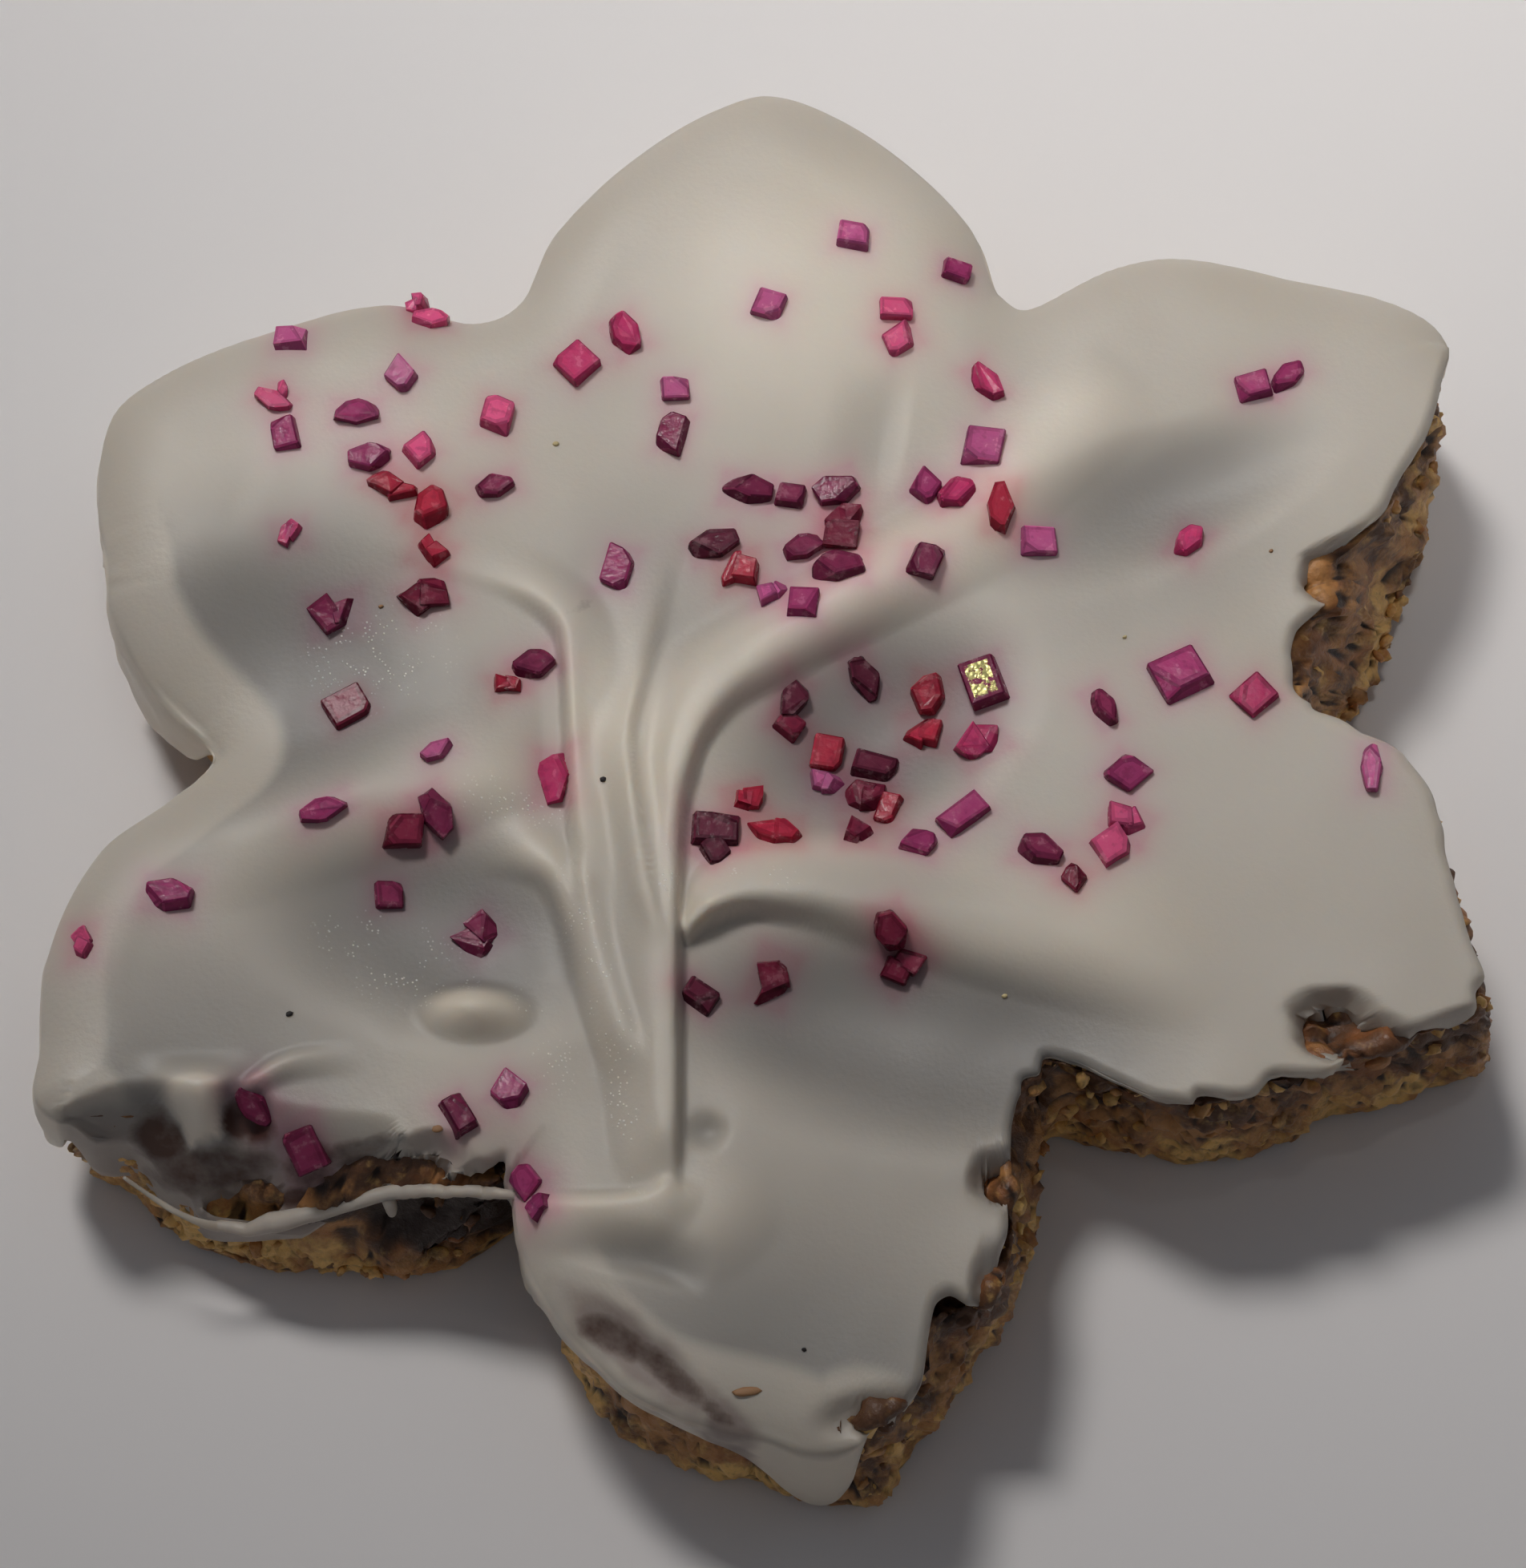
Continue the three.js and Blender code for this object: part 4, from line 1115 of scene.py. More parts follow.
class MakeBiscuit(bpy.types.Operator):
    """Makes the coarse baked star, with its bare, broken margin"""

    bl_idname = "cookie.biscuit"
    bl_label = "Biscuit"

    def execute(self, context):
        bm, points = star_mesh(crumb_sections(every_degree(RING)))
        normals = np.array([v.normal for v in bm.verts])
        lump, depth = sizes().lump / MM, sizes().lump_depth / MM
        coarse, share = lumps(points, lump, 4.3)
        fine, fine_share = lumps(points, lump * FINE_LUMP, 9.1)
        swing = waves(points, *CRUMB_WAVES)
        split = smoothstep(np.abs(rough(points, 0.9, 25)), 0.07, 0)
        gaps = COARSE_DEPTH * (1 - coarse) + FINE_DEPTH * (1 - fine) + SPLIT_DEPTH * split
        sunk = depth * gaps + LUMP_SINK - swing
        on_top = smoothstep(normals[:, 2], 0.4, 0.8)
        seen_y = seen(points[:, 1], points[:, 2] + 0.5)
        mounds, open_top = np.zeros(len(points)), np.zeros(len(points))
        for at, half, turn, mound in BARE_SPOTS:
            near = spot_weight(points[:, 0], seen_y, at, half, turn, -0.7, 0.7)
            mounds = np.maximum(mounds, mound * near * smoothstep(normals[:, 2], 0.1, 0.6))
            open_top = np.maximum(open_top, near * on_top)
        flat_base = smoothstep(points[:, 2], 0, 1.2)
        sunk = np.maximum(sunk, -0.5 * open_top) * (0.35 + 0.65 * flat_base)
        sunk -= TOP_SWELL * on_top + mounds
        for pit in CRUMB_PITS:
            sunk -= swell_height(pit, points[:, 0], points[:, 1]) * on_top
        points = points - normals * sunk[:, None]
        points[:, 2] = np.maximum(points[:, 2], 0)
        place_vertices(bm, points)
        biscuit = finish_piece(bm, "Biscuit", crumb_material(), ["biscuit"])
        # Painted shade: open_sky is low in crevices, splits and pits.
        open_sky = np.clip(coarse * 0.6 + fine * 0.4 - 0.5 * split, 0, 1)
        for pit in CRUMB_PITS:
            open_sky *= 1 + 0.5 * swell_height(pit, points[:, 0], points[:, 1])
        # Moisture and painted shade: the crumb is darker towards its top, under the icing's edge,
        # and towards the front.
        moist_and_shaded = smoothstep(points[:, 2], 3.4, 6) * (0.3 + 0.7 * smoothstep(-points[:, 1], 0, 8))
        # Below the strand it is darker still, with painted shade deep in its crevices.
        for at, half, turn in MOIST_SHADED_CRUMB:
            dark = spot_weight(points[:, 0], seen_y, at, half, turn, 0.3 * swing, 0.4)
            moist_and_shaded = np.maximum(moist_and_shaded, 1.3 * dark)
            open_sky *= 1 - 0.72 * dark
        low = 1 - smoothstep(points[:, 2], 1, 4.6)
        patch = smoothstep(rough(points, 2.6, 31), -0.25, 0.45)
        crumb_values(biscuit, open_sky, share * 0.6 + fine_share * 0.4 - moist_and_shaded,
                     np.clip(0.45 * low + 0.6 * patch - 0.05 - 0.7 * moist_and_shaded, 0, 1))
        return {"FINISHED"}


# depth carries the painted shade of crevices and pits, grain each lump's tone less the moist,
# shaded crumb, and pale the ochre share.
def crumb_values(piece, depth, grain, pale):
    add_values(piece.data, "depth", depth)
    add_values(piece.data, "grain", grain)
    add_values(piece.data, "pale", pale)


GRAIN_COUNT = 260
GRAIN_ROWS = (26, 58)  # rows of the biscuit where loose grains stick


class MakeCrumbs(bpy.types.Operator):
    """Sticks loose grains to the biscuit's bare, broken edges"""

    bl_idname = "cookie.crumbs"
    bl_label = "Crumbs"

    def execute(self, context):
        rng = random.Random(12)
        degrees = every_degree(RING)
        sections = crumb_sections(degrees)
        bare = np.flatnonzero(edge_column(REACH, degrees) < 0.1)
        bm = bmesh.new()
        grain, pale = [], []
        for _ in range(GRAIN_COUNT):
            column = int(bare[rng.randrange(len(bare))])
            row = rng.randrange(*GRAIN_ROWS)
            here, below = (Vector(sections[row + k][column]) for k in (0, 1))
            side = Vector(sections[row][(column + 1) % RING]) - here
            out = -side.cross(below - here).normalized()
            made = bmesh.ops.create_icosphere(bm, subdivisions=2, radius=0.5)["verts"]
            wide = rng.uniform(0.25, 0.7)
            seed = Vector([rng.uniform(0, 50) for _ in range(3)])
            for vertex in made:
                vertex.co *= 1 + 0.6 * noise.noise(vertex.co * 2.6 + seed)
            spin = Vector([rng.uniform(-1, 1) for _ in range(3)]).to_track_quat("Z", "Y")
            stretch = Matrix.Diagonal((wide * rng.uniform(1, 1.6), wide, wide * 0.75, 1))
            place = here - out * (0.3 * wide + 0.25)
            place.z = max(place.z, wide * 0.5)
            # Grains in the crumb below the strand are darker with its painted shade.
            dark = float(most_of(MOIST_SHADED_CRUMB, place.x, seen(place.y, place.z), 0, 0.25))
            matrix = Matrix.Translation(place) @ spin.to_matrix().to_4x4() @ stretch
            bmesh.ops.transform(bm, verts=made, matrix=matrix)
            grain += [rng.uniform(0.15, 1) - 1.2 * dark] * len(made)
            pale += [rng.uniform(0, 1) * (1 - dark)] * len(made)
        for vertex in bm.verts:
            vertex.co.z = max(vertex.co.z, 0)
        piece = finish_piece(bm, "Crumbs", crumb_material())
        crumb_values(piece, np.full(len(grain), 0.8), grain, pale)
        return {"FINISHED"}


# ---------------------------------------------------------------- the icing
GRID = 276  # cells along each side of the icing's grid
WALL_STEPS, HEM_STEPS = 8, 5
STEPS = WALL_STEPS + HEM_STEPS + 2  # rows below the grid, with two that the crumb hides
BLEED_ROWS = 3  # rows of the wall over which the sugar's tint fades
EVEN_SHARE = 0.78  # inside this share of the radius the grid follows the even outline only
CROWDING = 0.1  # how much closer than even the grid's rows stand in the middle
BULGE, SPLAY = 0.16, 0.1  # how far the hanging wall swells out, and how far its hem stands out
LIP, LIP_RADIUS = 0.1, 0.14  # height and roundness of the icing's edge on bare crumb
HEM_TURN = math.pi * 0.94  # how far round the hem curls under
CURLED_IN = 2.4  # how far inside the edge the hidden part of a hanging wall ends
TUCKED_IN = 1.6  # and of an edge on bare crumb
PULLED_IN = 1.4  # how far a wall is drawn in where a bare spot opens the icing's edge


def disc_from_square(u, v):
    return u * np.sqrt(1 - v * v / 2), v * np.sqrt(1 - u * u / 2)


def hem_profile(row, outline, degrees, top):
    """How far out from the edge, and how high, a row of the icing's hanging wall lies."""
    bare = outline.at(outline.bare, degrees)
    hem = outline.at(outline.hem, degrees)
    radius = sizes().hem_radius / MM
    hang = np.interp(degrees % 360, *FILM_HANG.T) * outline.at(outline.apron, degrees)
    sway = 0.12 * hang
    if row <= WALL_STEPS:
        share = row / WALL_STEPS
        out = BULGE * math.sin(share * math.pi * 1.35) * (1 - share) + SPLAY * share**2
        hung = (out, top + (hem + radius - top) * share)
        thin = ((0.02 + sway) * share, top - (LIP + hang) * share)
    elif row <= WALL_STEPS + HEM_STEPS:
        turn = (row - WALL_STEPS) / HEM_STEPS * HEM_TURN
        back, down = 1 - math.cos(turn), math.sin(turn)
        hung = (SPLAY - radius * back, hem + radius * (1 - down))
        thin = (0.02 + sway - LIP_RADIUS * back, top - LIP - hang - LIP_RADIUS * down)
    else:
        hung = (-CURLED_IN, CRUMB_TOP - 0.9)
        thin = (-TUCKED_IN, top - SUNK)
    return [hung[i] * (1 - bare) + thin[i] * bare for i in (0, 1)]


def coat_mesh():
    """A square grid whose border is extruded a unit down for each row, and closed below."""
    bm = bmesh.new()
    bmesh.ops.create_grid(bm, x_segments=GRID, y_segments=GRID, size=1)
    ring = [e for e in bm.edges if e.is_boundary]
    for _ in range(STEPS):
        lower, ring = extruded(bm, ring)
        bmesh.ops.translate(bm, vec=(0, 0, -1), verts=lower)
    bmesh.ops.edgeloop_fill(bm, edges=ring)
    return bm


class MakeIcing(bpy.types.Operator):
    """Makes the folded coat of icing, with its rolled rim, hem and thin, torn places"""

    bl_idname = "cookie.icing"
    bl_label = "Icing"

    def execute(self, context):
        outline = Outline()
        bm = coat_mesh()
        raw = vertex_array(bm)
        raw[:, :2] /= np.abs(raw[:, :2]).max()
        u, v = disc_from_square(raw[:, 0], raw[:, 1])
        out, degrees = np.hypot(u, v), np.degrees(np.arctan2(v, u))
        row = np.round(-raw[:, 2]).astype(int)
        near_edge = smoothstep(out, EVEN_SHARE, 1)
        radius = outline.at(outline.even, degrees) * (1 - near_edge)
        radius += outline.at(outline.radius, degrees) * near_edge
        spaced = out * (1 - CROWDING * (1 - out**2))
        plan = snapped(around(radius * spaced, degrees), outline)
        top = icing_top(*plan.T, outline)
        opened = smoothstep(whole_top(*plan.T, outline)[1] - top, 0, 0.6)
        points = np.column_stack([plan, top])
        normals = np.stack([outline.at(outline.normals[:, i], degrees) for i in (0, 1)], -1)
        hidden = row == STEPS
        points[hidden, :2] = around(CORE, degrees[hidden])
        points[hidden, 2] = CRUMB_TOP - SUNK
        for k in range(1, STEPS):
            at = row == k
            away, height = hem_profile(k, outline, degrees[at], top[at])
            away = away - PULLED_IN * opened[at]
            points[at, :2] += normals[at] * away[:, None]
            points[at, 2] = height
        wall = (row > 0) & (row <= WALL_STEPS + HEM_STEPS)
        hung = (1 - outline.at(outline.bare, degrees)) * wall
        wave = waves(points, (0.16, 2.6, 41), (0.06, 0.9, 42))
        points[:, :2] += normals * (wave * hung)[:, None]
        place_vertices(bm, points)
        bmesh.ops.recalc_face_normals(bm, faces=bm.faces)
        icing = finish_piece(bm, "Icing", icing_material(), ["icing"])
        looks = self.coat_looks(points, row, outline, outline.at(outline.bare, degrees))
        add_icing_looks(icing.data, **looks, bleed=self.bleeding(points, row, outline))
        return {"FINISHED"}

    def coat_looks(self, points, row, outline, bare):
        """Where the icing is thin, shows the crumb below it, glints, and where painted shade
        darkens its body.
        """
        x, y, z = points.T
        crumb, down, apron = outline.film_level(x, y)
        sagged = apron * smoothstep(down, 0.1, 0.7)
        thin = (1 - smoothstep(z - crumb, 0.1, 0.9)) * sagged * 0.6
        thin = np.maximum(thin, 0.3 * (1 - smoothstep(bare_gap(x, y, z), 0, 1)))
        thin = np.where(row > 0, thin * bare, thin)
        wobble = waves(points, (0.3, 0.8, 52))
        thin = np.maximum(thin, 0.9 * most_of(THIN_PATCHES, x, y, wobble, 0.3))
        tongue = smoothstep(fold_height(TONGUE, x, y), 0.05, 0.7)
        # Painted shade: body falls in the relief's hollows and in the shade patches, stays up
        # beside a hanging rim and on the tongue; on the walls it is 1, and half that over bare
        # crumb.
        body = smoothstep(icing_relief(x, y) - ICING_LEVEL, -0.75, 0.55)
        for at, half, turn, amount in SHADE_PATCHES:
            body *= 1 - amount * spot_weight(x, y, at, half, turn, 0, 0.9)
        rim = 1 - smoothstep(outline.hung_edge.nearest(x, y)[0], RIM_WIDTH * 0.7, RIM_WIDTH)
        body = np.maximum(body, np.maximum(0.6 * rim * (1 - sagged), tongue))
        return {
            "thin": thin * (1 - tongue),
            "showing": most_of(SHOWING_AND_PIT_SHADE, x, seen(y, z), wobble * 0.6, 0.5) * (1 - tongue),
            "body": np.where(row > 0, 1 - 0.5 * bare, body),
            "glint": most_of(GLINT_PATCHES, x, y, 0, 0.6) * (rough(points, 0.8, 51) > 0.02),
        }

    def bleeding(self, points, row, outline):
        """The tint that the sugar's colour leaves in the icing round each crystal."""
        x, y, _ = points.T
        bleed = np.ones((len(points), 3))
        for cx, cy, kind, _, long, wide, turn in placed_crystals(outline):
            near = np.hypot(x - cx, y - cy) < long + BLEED_WIDTH
            weight = bleed_weight(x[near] - cx, y[near] - cy, long, wide, turn)
            weight *= BLEED_STRENGTH * np.clip(1 - row[near] / BLEED_ROWS, 0, 1)
            tint = np.array(getattr(colours(), kind)) ** 0.45
            tint = tint / tint.max() * (1, 0.93, 1)
            bleed[near] *= 1 - weight[:, None] * (1 - tint)
        return bleed


def add_icing_looks(mesh, bleed, **looks):
    for name, values in looks.items():
        add_values(mesh, name, values)
    add_colours(mesh, "bleed", bleed)


def bleed_weight(dx, dy, long, wide, turn):
    """1 under a crystal, fading to 0 about a millimetre outside it."""
    lengthwise, across = turned(dx, dy, turn)
    away = np.hypot(np.maximum(np.abs(lengthwise) - long / 2, 0),
                    np.maximum(np.abs(across) - wide / 2, 0))
    return np.exp(-away * BLEED_FADE) * (away < BLEED_WIDTH)


def placed_crystals(outline):
    """The sugar crystals with their places moved onto the icing's surface."""
    x, y, *_ = zip(*CRYSTALS)
    x, y = leaned(x, y, lambda px, py: icing_top(px, py, outline))
    return [(cx, cy, *crystal[2:]) for cx, cy, crystal in zip(x, y, CRYSTALS)]


# Strands of icing over the torn edge: width as a share of the usual strand, then the path.
STRANDS = [
    ((0.35, 0.4, 0.45, 0.6, 0.85, 1.25, 1, 0.9, 0.9, 0.95, 1, 1.1),
     [(-21.1, -15.4), (-20.3, -16.05), (-19.4, -16.65), (-18.35, -17.1), (-17.1, -17.25),
      (-16.3, -17.1), (-15.3, -16.65), (-14.05, -16.3), (-12.8, -15.9), (-11.5, -15.72),
      (-10, -15.75), (-8.4, -15.9)]),
    ((0.9, 0.7, 0.5), [(-12.6, -15.95), (-12.5, -16.3), (-12.45, -16.6)]),
]
STRAND_SIDES, STRAND_STEPS = 10, 14  # steps from each point of its path to the next
STRAND_LEVEL = 0.62  # height of its middle above the smooth crumb
STRAND_FLAT = 0.75  # its height as a share of its width


class MakeStrands(bpy.types.Operator):
    """Draws the icing strands that hang over the torn edge"""

    bl_idname = "cookie.strands"
    bl_label = "Strands"

    def execute(self, context):
        outline = Outline()
        bm = bmesh.new()

        def surface(px, py):
            return outline.crumb_level(px, py)[0] + STRAND_LEVEL

        for share, path in STRANDS:
            x, y = leaned(*smooth_path(path, STRAND_STEPS * (len(path) - 1)).T, surface)
            width = along(share, np.linspace(0, 1, len(x)))
            points = np.column_stack([x, y, surface(x, y)])
            self.tube(bm, points, sizes().strand / MM / 2 * width)
        bmesh.ops.recalc_face_normals(bm, faces=bm.faces)
        piece = finish_piece(bm, "Strands", icing_material())
        every = np.ones(len(piece.data.vertices))
        # The strands take half of the painted shade.
        add_icing_looks(piece.data, bleed=np.ones((len(every), 3)), thin=0.25 * every,
                        showing=0 * every, body=0.5 * every, glint=0 * every)
        return {"FINISHED"}

    def tube(self, bm, points, radius):
        """A round, uneven tube along the points, narrower towards its ends."""
        swell = 1 + waves(points, (0.3, 1.3, 61))
        ends = np.sin(np.linspace(0.25, math.pi - 0.25, len(points))) ** 0.35
        made = bmesh.ops.create_circle(bm, cap_ends=True, segments=STRAND_SIDES, radius=1)
        ring = made["verts"]
        edges = list({e for v in ring for e in v.link_edges})
        corners = [v.co.copy() for v in ring]
        for i, point in enumerate(points):
            ahead = Vector(points[min(i + 1, len(points) - 1)] - points[max(i - 1, 0)])
            turn = ahead.to_track_quat("Z", "Y").to_matrix()
            if i:
                ring, edges = extruded(bm, edges)
            for corner, vertex in zip(corners, ring):
                vertex.co = Vector(point) + turn @ (corner * radius[i] * swell[i] * ends[i])
                vertex.co.z = point[2] + (vertex.co.z - point[2]) * STRAND_FLAT
        bmesh.ops.edgeloop_fill(bm, edges=edges)


# ---------------------------------------------------------------- sugar and flecks
CHIPS = {"block": 1, "gilt": 0, "slant": 2, "gem": 2, "rough": 3}  # corners broken off each habit
LOOSE = {"rough": 0.1, "gem": 0.06}  # how far corners stray, as a share of the crystal's size
LEAST_LOOSE = 0.035  # the same for the other habits
FULLER = 1.04  # crystals are this much wider than what shows of them
# Painted light and shade on the crystals: a darker border inside each large facet, and the icing's
# tan seen through the lighter facets.
INNER = 0.13  # width of the darker border inside a facet, as a share of the crystal's width
FACET_TAN = np.array((0.07, 0.018, 0.03))  # icing that shines through the lighter facets
SHARP = 0.3  # edges that turn more than this, in radians, are worn
# How far to each side the icing is felt for its slope under a crystal, and how much of a
# crystal's tilt that slope gives.
SURFACE_STEP, SURFACE_TILT = 0.5, 0.6
STRAY_TILT = 0.16  # how much more a crystal may lean to any side


def crystal_blank(bm, habit, size, rng):
    """The plain form that a crystal is shaped from."""
    long, wide, high = size
    if habit == "gem":
        bmesh.ops.create_circle(bm, cap_ends=True, segments=6, radius=0.5)
        bmesh.ops.scale(bm, vec=(long * 1.1, wide * 1.2, 1), verts=bm.verts)
        top = bmesh.ops.extrude_face_region(bm, geom=list(bm.faces))["geom"]
        upper = [v for v in top if isinstance(v, bmesh.types.BMVert)]
        bmesh.ops.translate(bm, vec=(0, 0, high), verts=upper)
        bmesh.ops.translate(bm, vec=(0, 0, -high / 2), verts=bm.verts)
    elif habit == "rough":
        for side in (-1, 1):
            half = bmesh.ops.create_cube(bm, size=1)["verts"]
            share = (rng.uniform(0.55, 0.7) * long, rng.uniform(0.7, 0.95) * wide, high)
            spin = Matrix.Rotation(rng.uniform(-0.6, 0.6), 4, "Z")
            shift = Matrix.Translation((side * 0.2 * long, rng.uniform(-0.12, 0.12) * wide,
                                        rng.uniform(-0.12, 0) * high))
            stretch = Matrix.Diagonal((*share, 1))
            bmesh.ops.transform(bm, verts=half, matrix=shift @ spin @ stretch)
    else:
        bmesh.ops.create_cube(bm, size=1)
        bmesh.ops.scale(bm, vec=size, verts=bm.verts)


def skew(bm, habit, size, rng):
    """Shears a crystal, narrows its top and moves its corners a little."""
    long, wide, _ = size
    shear = rng.uniform(0.2, 0.4) if habit == "slant" else rng.uniform(-0.08, 0.08)
    loose = LOOSE.get(habit, LEAST_LOOSE)
    narrow = (rng.uniform(0.8, 0.96), rng.uniform(0.74, 0.94))
    shift = (rng.uniform(-0.05, 0.05) * long, rng.uniform(-0.02, 0.08) * wide)
    for vertex in bm.verts:
        if vertex.co.z > 0:
            vertex.co.x = vertex.co.x * narrow[0] + shift[0]
            vertex.co.y = vertex.co.y * narrow[1] + shift[1]
        vertex.co.x += vertex.co.y * shear
        vertex.co += Vector([rng.uniform(-loose, loose) * s for s in size])


def chip(bm, size, rng, deep):
    """Breaks one corner or edge off a crystal with a flat cut."""
    toward = Vector([rng.choice((-1, 1)) * rng.uniform(0.3, 1) for _ in size])
    toward.z = abs(toward.z) * rng.uniform(0.3, 1.4)
    reach = max(toward.dot(v.co) for v in bm.verts)
    least = min(toward.dot(v.co) for v in bm.verts)
    at = reach - (reach - least) * rng.uniform(0.08, deep)
    cut = bmesh.ops.bisect_plane(bm, geom=bm.verts[:] + bm.edges[:] + bm.faces[:], dist=0.0001,
                                 plane_co=toward * (at / toward.length_squared),
                                 plane_no=toward, clear_outer=True)["geom_cut"]
    rim = [e for e in cut if isinstance(e, bmesh.types.BMEdge)]
    bmesh.ops.holes_fill(bm, edges=rim, sides=0)


def facet_shade(rng, top, worn, rim, inner):
    """Painted light and shade of one facet: worn edges are painted dark or with a glint, and large
    facets are painted lightest.
    """
    if worn:
        return rng.uniform(0, 0.12) if rng.random() < 0.7 else rng.uniform(0.7, 1)
    if rim:
        return rng.uniform(0.2, 0.45) + 0.15 * top
    if top:
        return rng.uniform(0.75, 1.1)
    return rng.uniform(0.45, 1) if inner else rng.uniform(0.15, 0.6)


def crystal_shape(habit, size, rng):
    """One sugar crystal about its own centre in millimetres, each face's painted brightness, and
    which faces are the flat middle of its top."""
    bm = bmesh.new()
    long, wide, _ = size
    crystal_blank(bm, habit, size, rng)
    skew(bm, habit, size, rng)
    for _ in range(CHIPS[habit]):
        chip(bm, size, rng, 0.16 if habit == "rough" else 0.14)
    corners = vertex_array(bm)
    middle, span = (corners.max(0) + corners.min(0)) / 2, np.ptp(corners, 0)
    bmesh.ops.translate(bm, vec=-middle * (1, 1, 0), verts=bm.verts)
    bmesh.ops.scale(bm, vec=(long * FULLER / span[0], wide * FULLER / span[1], 1), verts=bm.verts)
    bmesh.ops.recalc_face_normals(bm, faces=bm.faces)
    bm.normal_update()
    sharp = [e for e in bm.edges if len(e.link_faces) == 2 and e.calc_face_angle() > SHARP]
    worn = set(bmesh.ops.bevel(
        bm, geom=sharp, offset=sizes().sugar_bevel / MM, offset_type="OFFSET", segments=1,
        profile=0.5, affect="EDGES", material=-1, clamp_overlap=True,
    )["faces"])
    bm.normal_update()
    large = [f for f in bm.faces if f not in worn and f.normal.z > 0.2
             and f.calc_area() > 0.16 * long * wide]
    rim = set(bmesh.ops.inset_individual(
        bm, faces=large, thickness=INNER * min(long, wide), depth=0,
    )["faces"])
    shades, tables = [], []
    for face in bm.faces:
        top, inner = face.normal.z > 0.8, face in large
        tables.append(top and inner)
        shades.append(facet_shade(rng, top, face in worn, face in rim, inner))
    return bm, shades, tables


class MakeSugar(bpy.types.Operator):
    """Strews the coarse coloured sugar crystals over the icing"""

    bl_idname = "cookie.sugar"
    bl_label = "Sugar"

    def execute(self, context):
        outline = Outline()
        rng = random.Random(4)
        whole = bmesh.new()
        tints, shade_heights, gold = [], [], []
        crystals = placed_crystals(outline)
        x, y = (np.array([c[i] for c in crystals]) for i in (0, 1))
        levels = icing_top(x, y, outline)
        slopes = [icing_top(x + dx, y + dy, outline) - icing_top(x - dx, y - dy, outline)
                  for dx, dy in ((SURFACE_STEP, 0), (0, SURFACE_STEP))]
        usual = sizes().sugar_height / MM
        for i, (cx, cy, kind, habit, long, wide, turn) in enumerate(crystals):
            high = usual * rng.uniform(0.85, 1.1) * (0.55 + 0.35 * min(long, wide * 1.3))
            bm, shades, tables = crystal_shape(habit, (long, wide, high), rng)
            # Each vertex's height in its crystal, for the painted shade of its lower part.
            shade_heights += [v.co.z / high + 0.5 for v in bm.verts]
            up = Vector([-SURFACE_TILT * slope[i] for slope in slopes] + [1])
            stray = [rng.uniform(-STRAY_TILT, STRAY_TILT) for _ in slopes]
            up += Vector((*stray, 0))
            tilt = Vector((0, 0, 1)).rotation_difference(up.normalized()).to_matrix().to_4x4()
            spin = Matrix.Rotation(math.radians(turn), 4, "Z")
            lift = min(levels[i] + high * (0.5 - CRYSTAL_SINK), TALLEST - 0.55 * high)
            place = Matrix.Translation((cx, cy, lift))
            bmesh.ops.transform(bm, verts=bm.verts, matrix=place @ tilt @ spin)
            tint = np.array(getattr(colours(), kind)) * rng.uniform(0.88, 1.12)
            for face, shade in zip(bm.faces, shades):
                # Painted light and shade: each facet's tint is lightened or darkened by its shade,
                # and the lighter ones take the icing's tan.
                facet = tint * (0.5 + 0.75 * shade) * (1 - 0.16 * shade) + FACET_TAN * shade
                tints += [facet] * len(face.verts)
            gold += [float(table and habit == "gilt")
                     for face, table in zip(bm.faces, tables) for _ in face.verts]
            part = bpy.data.meshes.new("part")
            bm.to_mesh(part)
            bm.free()
            whole.from_mesh(part)
            bpy.data.meshes.remove(part)
        piece = finish_piece(whole, "Sugar", sugar_material())
        piece.data.shade_flat()
        add_colours(piece.data, "sugar_colour", np.minimum(tints, 1), "CORNER")
        add_values(piece.data, "core", shade_heights)
        add_values(piece.data, "gold", gold, "CORNER")
        return {"FINISHED"}


class MakeFlecks(bpy.types.Operator):
    """Drops the few burnt and crumb flecks on the icing"""

    bl_idname = "cookie.flecks"
    bl_label = "Flecks"

    def execute(self, context):
        outline = Outline()
        rng = random.Random(8)
        x, y, *_ = zip(*FLECKS)
        x, y = leaned(x, y, lambda px, py: icing_top(px, py, outline))
        levels = icing_top(x, y, outline)
        bm = bmesh.new()
        tints = []
        for i, (_, _, kind, long, wide, turn) in enumerate(FLECKS):
            made = bmesh.ops.create_icosphere(bm, subdivisions=2, radius=0.5)["verts"]
            for vertex in made:
                vertex.co *= 1 + rng.uniform(-0.12, 0.12)
            bmesh.ops.scale(bm, vec=(long, wide, FLECK_HEIGHT), verts=made)
            spin = Matrix.Rotation(math.radians(turn), 4, "Z")
            place = Matrix.Translation((x[i], y[i], levels[i] + FLECK_LIFT))
            bmesh.ops.transform(bm, verts=made, matrix=place @ spin)
            tints += [getattr(colours(), kind)] * len(made)
        piece = finish_piece(bm, "Flecks", fleck_material())
        add_colours(piece.data, "fleck_colour", np.array(tints))
        return {"FINISHED"}


# ---------------------------------------------------------------- the stage
CAMERA_TARGET = (-0.5, -1.1, 6.5)
CAMERA_DISTANCE, CAMERA_ELEVATION = 220, 68
CAMERA_LENS = 153.8
FLOOR_HALF, FLOOR_GAP = 1.5, 0.00002  # metres, and how far the floor lies below the cookie
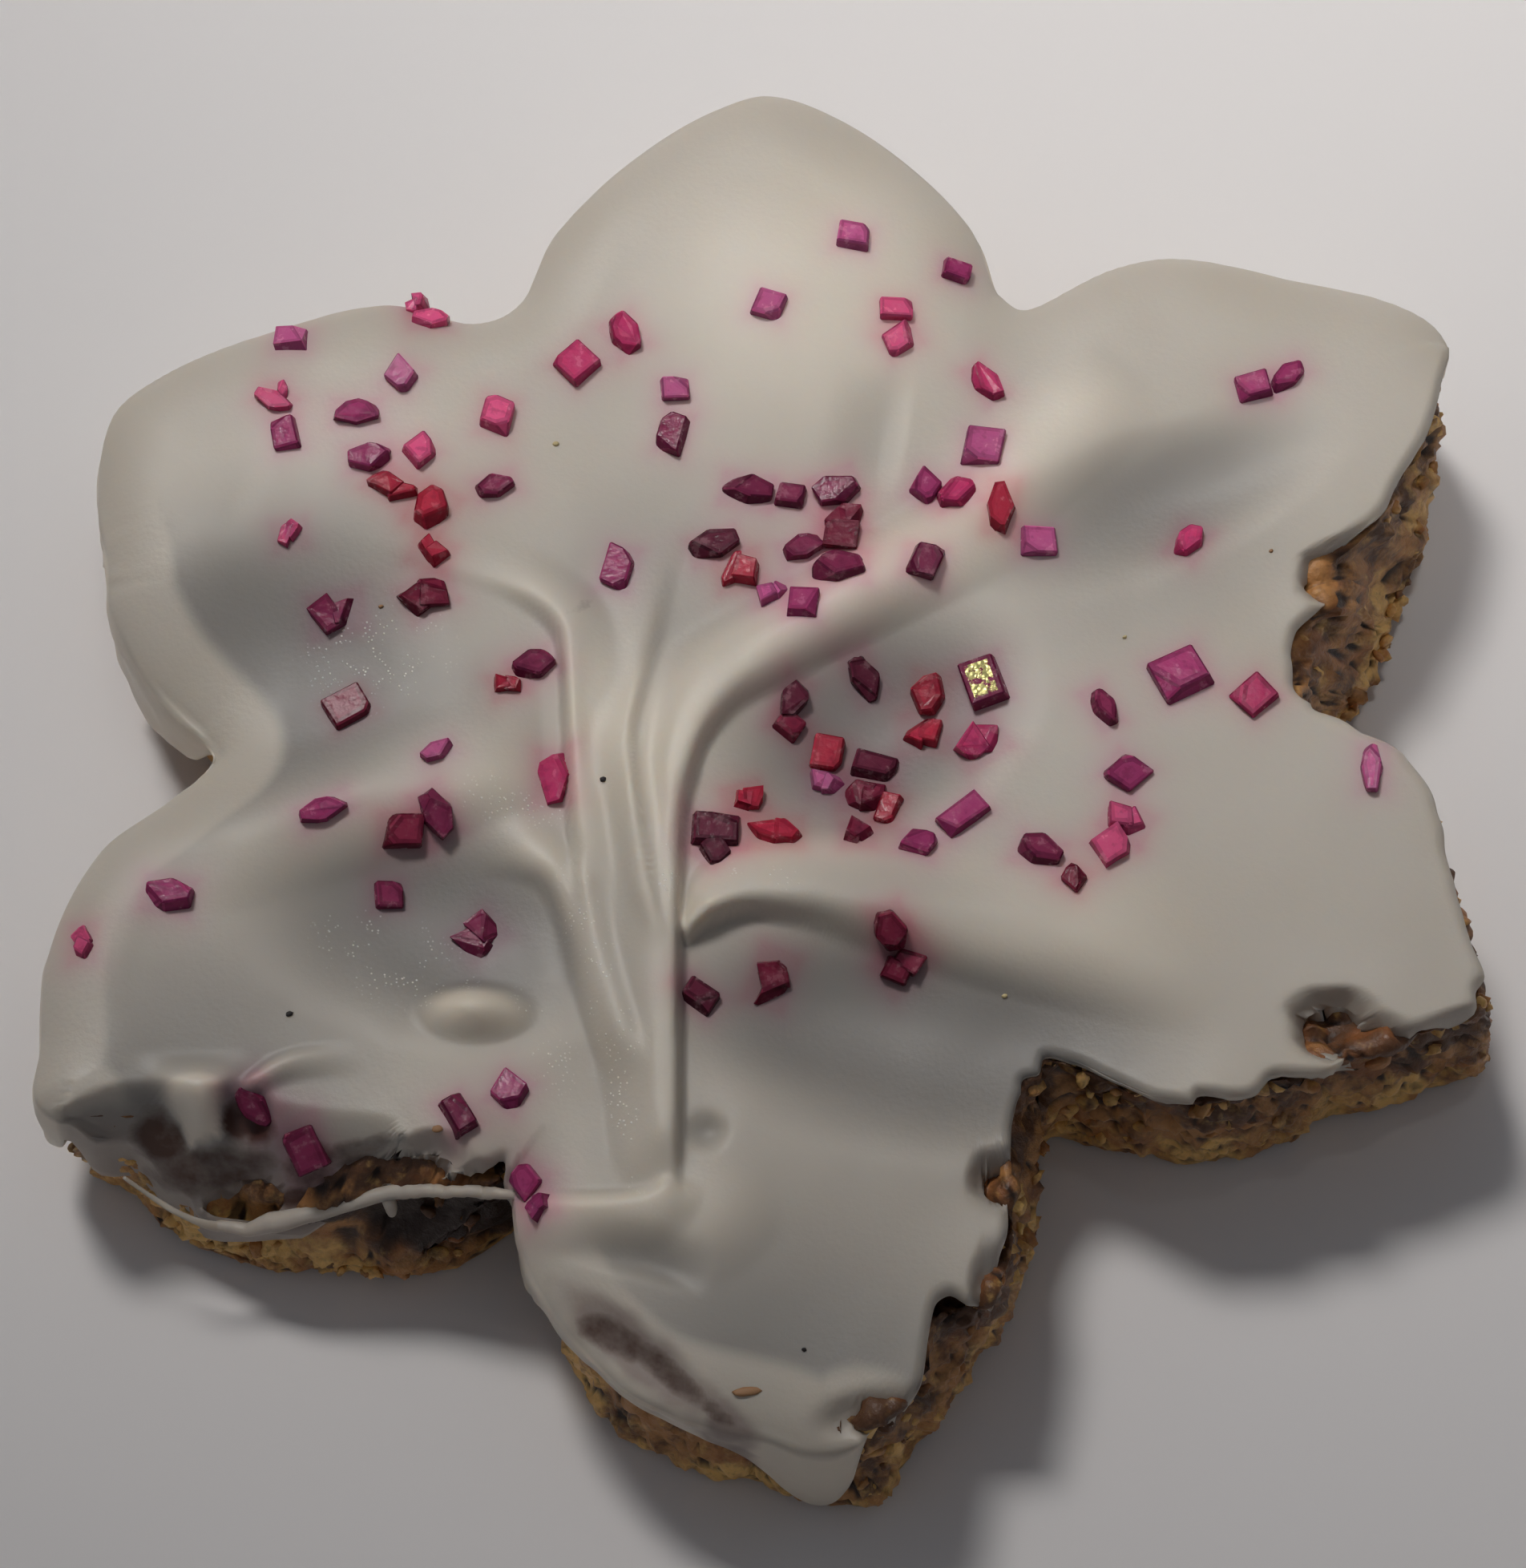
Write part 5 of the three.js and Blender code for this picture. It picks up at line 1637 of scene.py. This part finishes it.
# Lamps in metres: name, place, what it points at, half width of its pool, its own width, watts.
LAMPS = [
    ("Window", (-0.08, 0.25, 0.26), (-0.004, 0.118, 0.008), 0.045, 0.3, 40),
    ("Lamp", (0.04, 0.08, 0.35), (0.02, 0.066, 0.008), 0.035, 0.11, 8),
]
LAMP_COLOUR, ROOM_COLOUR = (1, 0.985, 0.96), (0.9, 0.93, 1, 1)
ROOM_LOW, ROOM_HIGH = 0.08, 0.2  # brightness of the room at the sides and overhead
ROOM_RISE = 0.2  # the height, as a share of the sky's, from which it grows brighter


class MakeStage(bpy.types.Operator):
    """Makes the pale floor, the soft lights and the camera"""

    bl_idname = "cookie.stage"
    bl_label = "Stage"

    def execute(self, context):
        bm = bmesh.new()
        bmesh.ops.create_grid(bm, x_segments=1, y_segments=1, size=FLOOR_HALF)
        mesh = bpy.data.meshes.new("Floor")
        bm.to_mesh(mesh)
        bm.free()
        mesh.materials.append(floor_material())
        floor = bpy.data.objects.new("Floor", mesh)
        floor.location.z = -FLOOR_GAP
        context.scene.collection.objects.link(floor)
        for lamp in LAMPS:
            self.light(context, *lamp)
        self.world(context)
        self.camera(context)
        return {"FINISHED"}

    def light(self, context, name, place, target, spread, width, power):
        """A soft spot whose pool of light fades from its target outwards."""
        data = bpy.data.lights.new(name, "SPOT")
        data.energy = power
        data.color = LAMP_COLOUR
        data.shadow_soft_size = width / 2
        aim = Vector(target) - Vector(place)
        data.spot_size = 2 * math.atan(spread / aim.length)
        data.spot_blend = 1
        lamp = bpy.data.objects.new(name, data)
        lamp.location = place
        lamp.rotation_euler = aim.to_track_quat("-Z", "Y").to_euler()
        context.scene.collection.objects.link(lamp)

    def world(self, context):
        """A soft room, brightest overhead."""
        world = bpy.data.worlds.new("Soft room")
        world.use_nodes = True
        tree = world.node_tree
        place = tree.nodes.new("ShaderNodeTexCoord")
        split = tree.nodes.new("ShaderNodeSeparateXYZ")
        ramp = tree.nodes.new("ShaderNodeMapRange")
        ramp.inputs["From Min"].default_value = ROOM_RISE
        ramp.inputs["To Min"].default_value = ROOM_LOW
        ramp.inputs["To Max"].default_value = ROOM_HIGH
        tree.links.new(place.outputs["Generated"], split.inputs[0])
        tree.links.new(split.outputs["Z"], ramp.inputs["Value"])
        background = tree.nodes["Background"]
        background.inputs["Color"].default_value = ROOM_COLOUR
        tree.links.new(ramp.outputs[0], background.inputs["Strength"])
        context.scene.world = world

    def camera(self, context):
        data = bpy.data.cameras.new("Camera")
        data.lens = CAMERA_LENS
        data.clip_start = 0.005
        camera = bpy.data.objects.new("Camera", data)
        tilt = math.radians(CAMERA_ELEVATION)
        back = Vector((0, -math.cos(tilt), math.sin(tilt)))
        camera.location = (Vector(CAMERA_TARGET) + back * CAMERA_DISTANCE) * MM
        camera.rotation_euler = (math.pi / 2 - tilt, 0, 0)
        context.scene.collection.objects.link(camera)
        context.scene.camera = camera
        context.scene.view_settings.view_transform = "Standard"


class CookiePanel(bpy.types.Panel):
    """Lists the cookie's pieces, sizes and colours"""

    bl_idname = "VIEW3D_PT_cookie"
    bl_label = "Iced Dog Cookie"
    bl_space_type = "VIEW_3D"
    bl_region_type = "UI"
    bl_category = "Cookie"

    def draw(self, context):
        layout = self.layout
        for operator in PIECES:
            layout.operator(operator.bl_idname)
        for group in (context.scene.cookie_sizes, context.scene.cookie_colours):
            box = layout.box()
            for key in group.__annotations__:
                box.prop(group, key)


PIECES = (MakeBiscuit, MakeCrumbs, MakeIcing, MakeStrands, MakeSugar, MakeFlecks, MakeStage)
CLASSES = (CookieSizes, CookieColours, *PIECES, CookiePanel)


def register():
    for cls in CLASSES:
        bpy.utils.register_class(cls)
    bpy.types.Scene.cookie_sizes = bpy.props.PointerProperty(type=CookieSizes)
    bpy.types.Scene.cookie_colours = bpy.props.PointerProperty(type=CookieColours)


def unregister():
    del bpy.types.Scene.cookie_colours
    del bpy.types.Scene.cookie_sizes
    for cls in reversed(CLASSES):
        bpy.utils.unregister_class(cls)


def main():
    register()
    bpy.ops.cookie.biscuit()
    bpy.ops.cookie.crumbs()
    bpy.ops.cookie.icing()
    bpy.ops.cookie.strands()
    bpy.ops.cookie.sugar()
    bpy.ops.cookie.flecks()
    bpy.ops.cookie.stage()


if __name__ == "__main__":
    main()
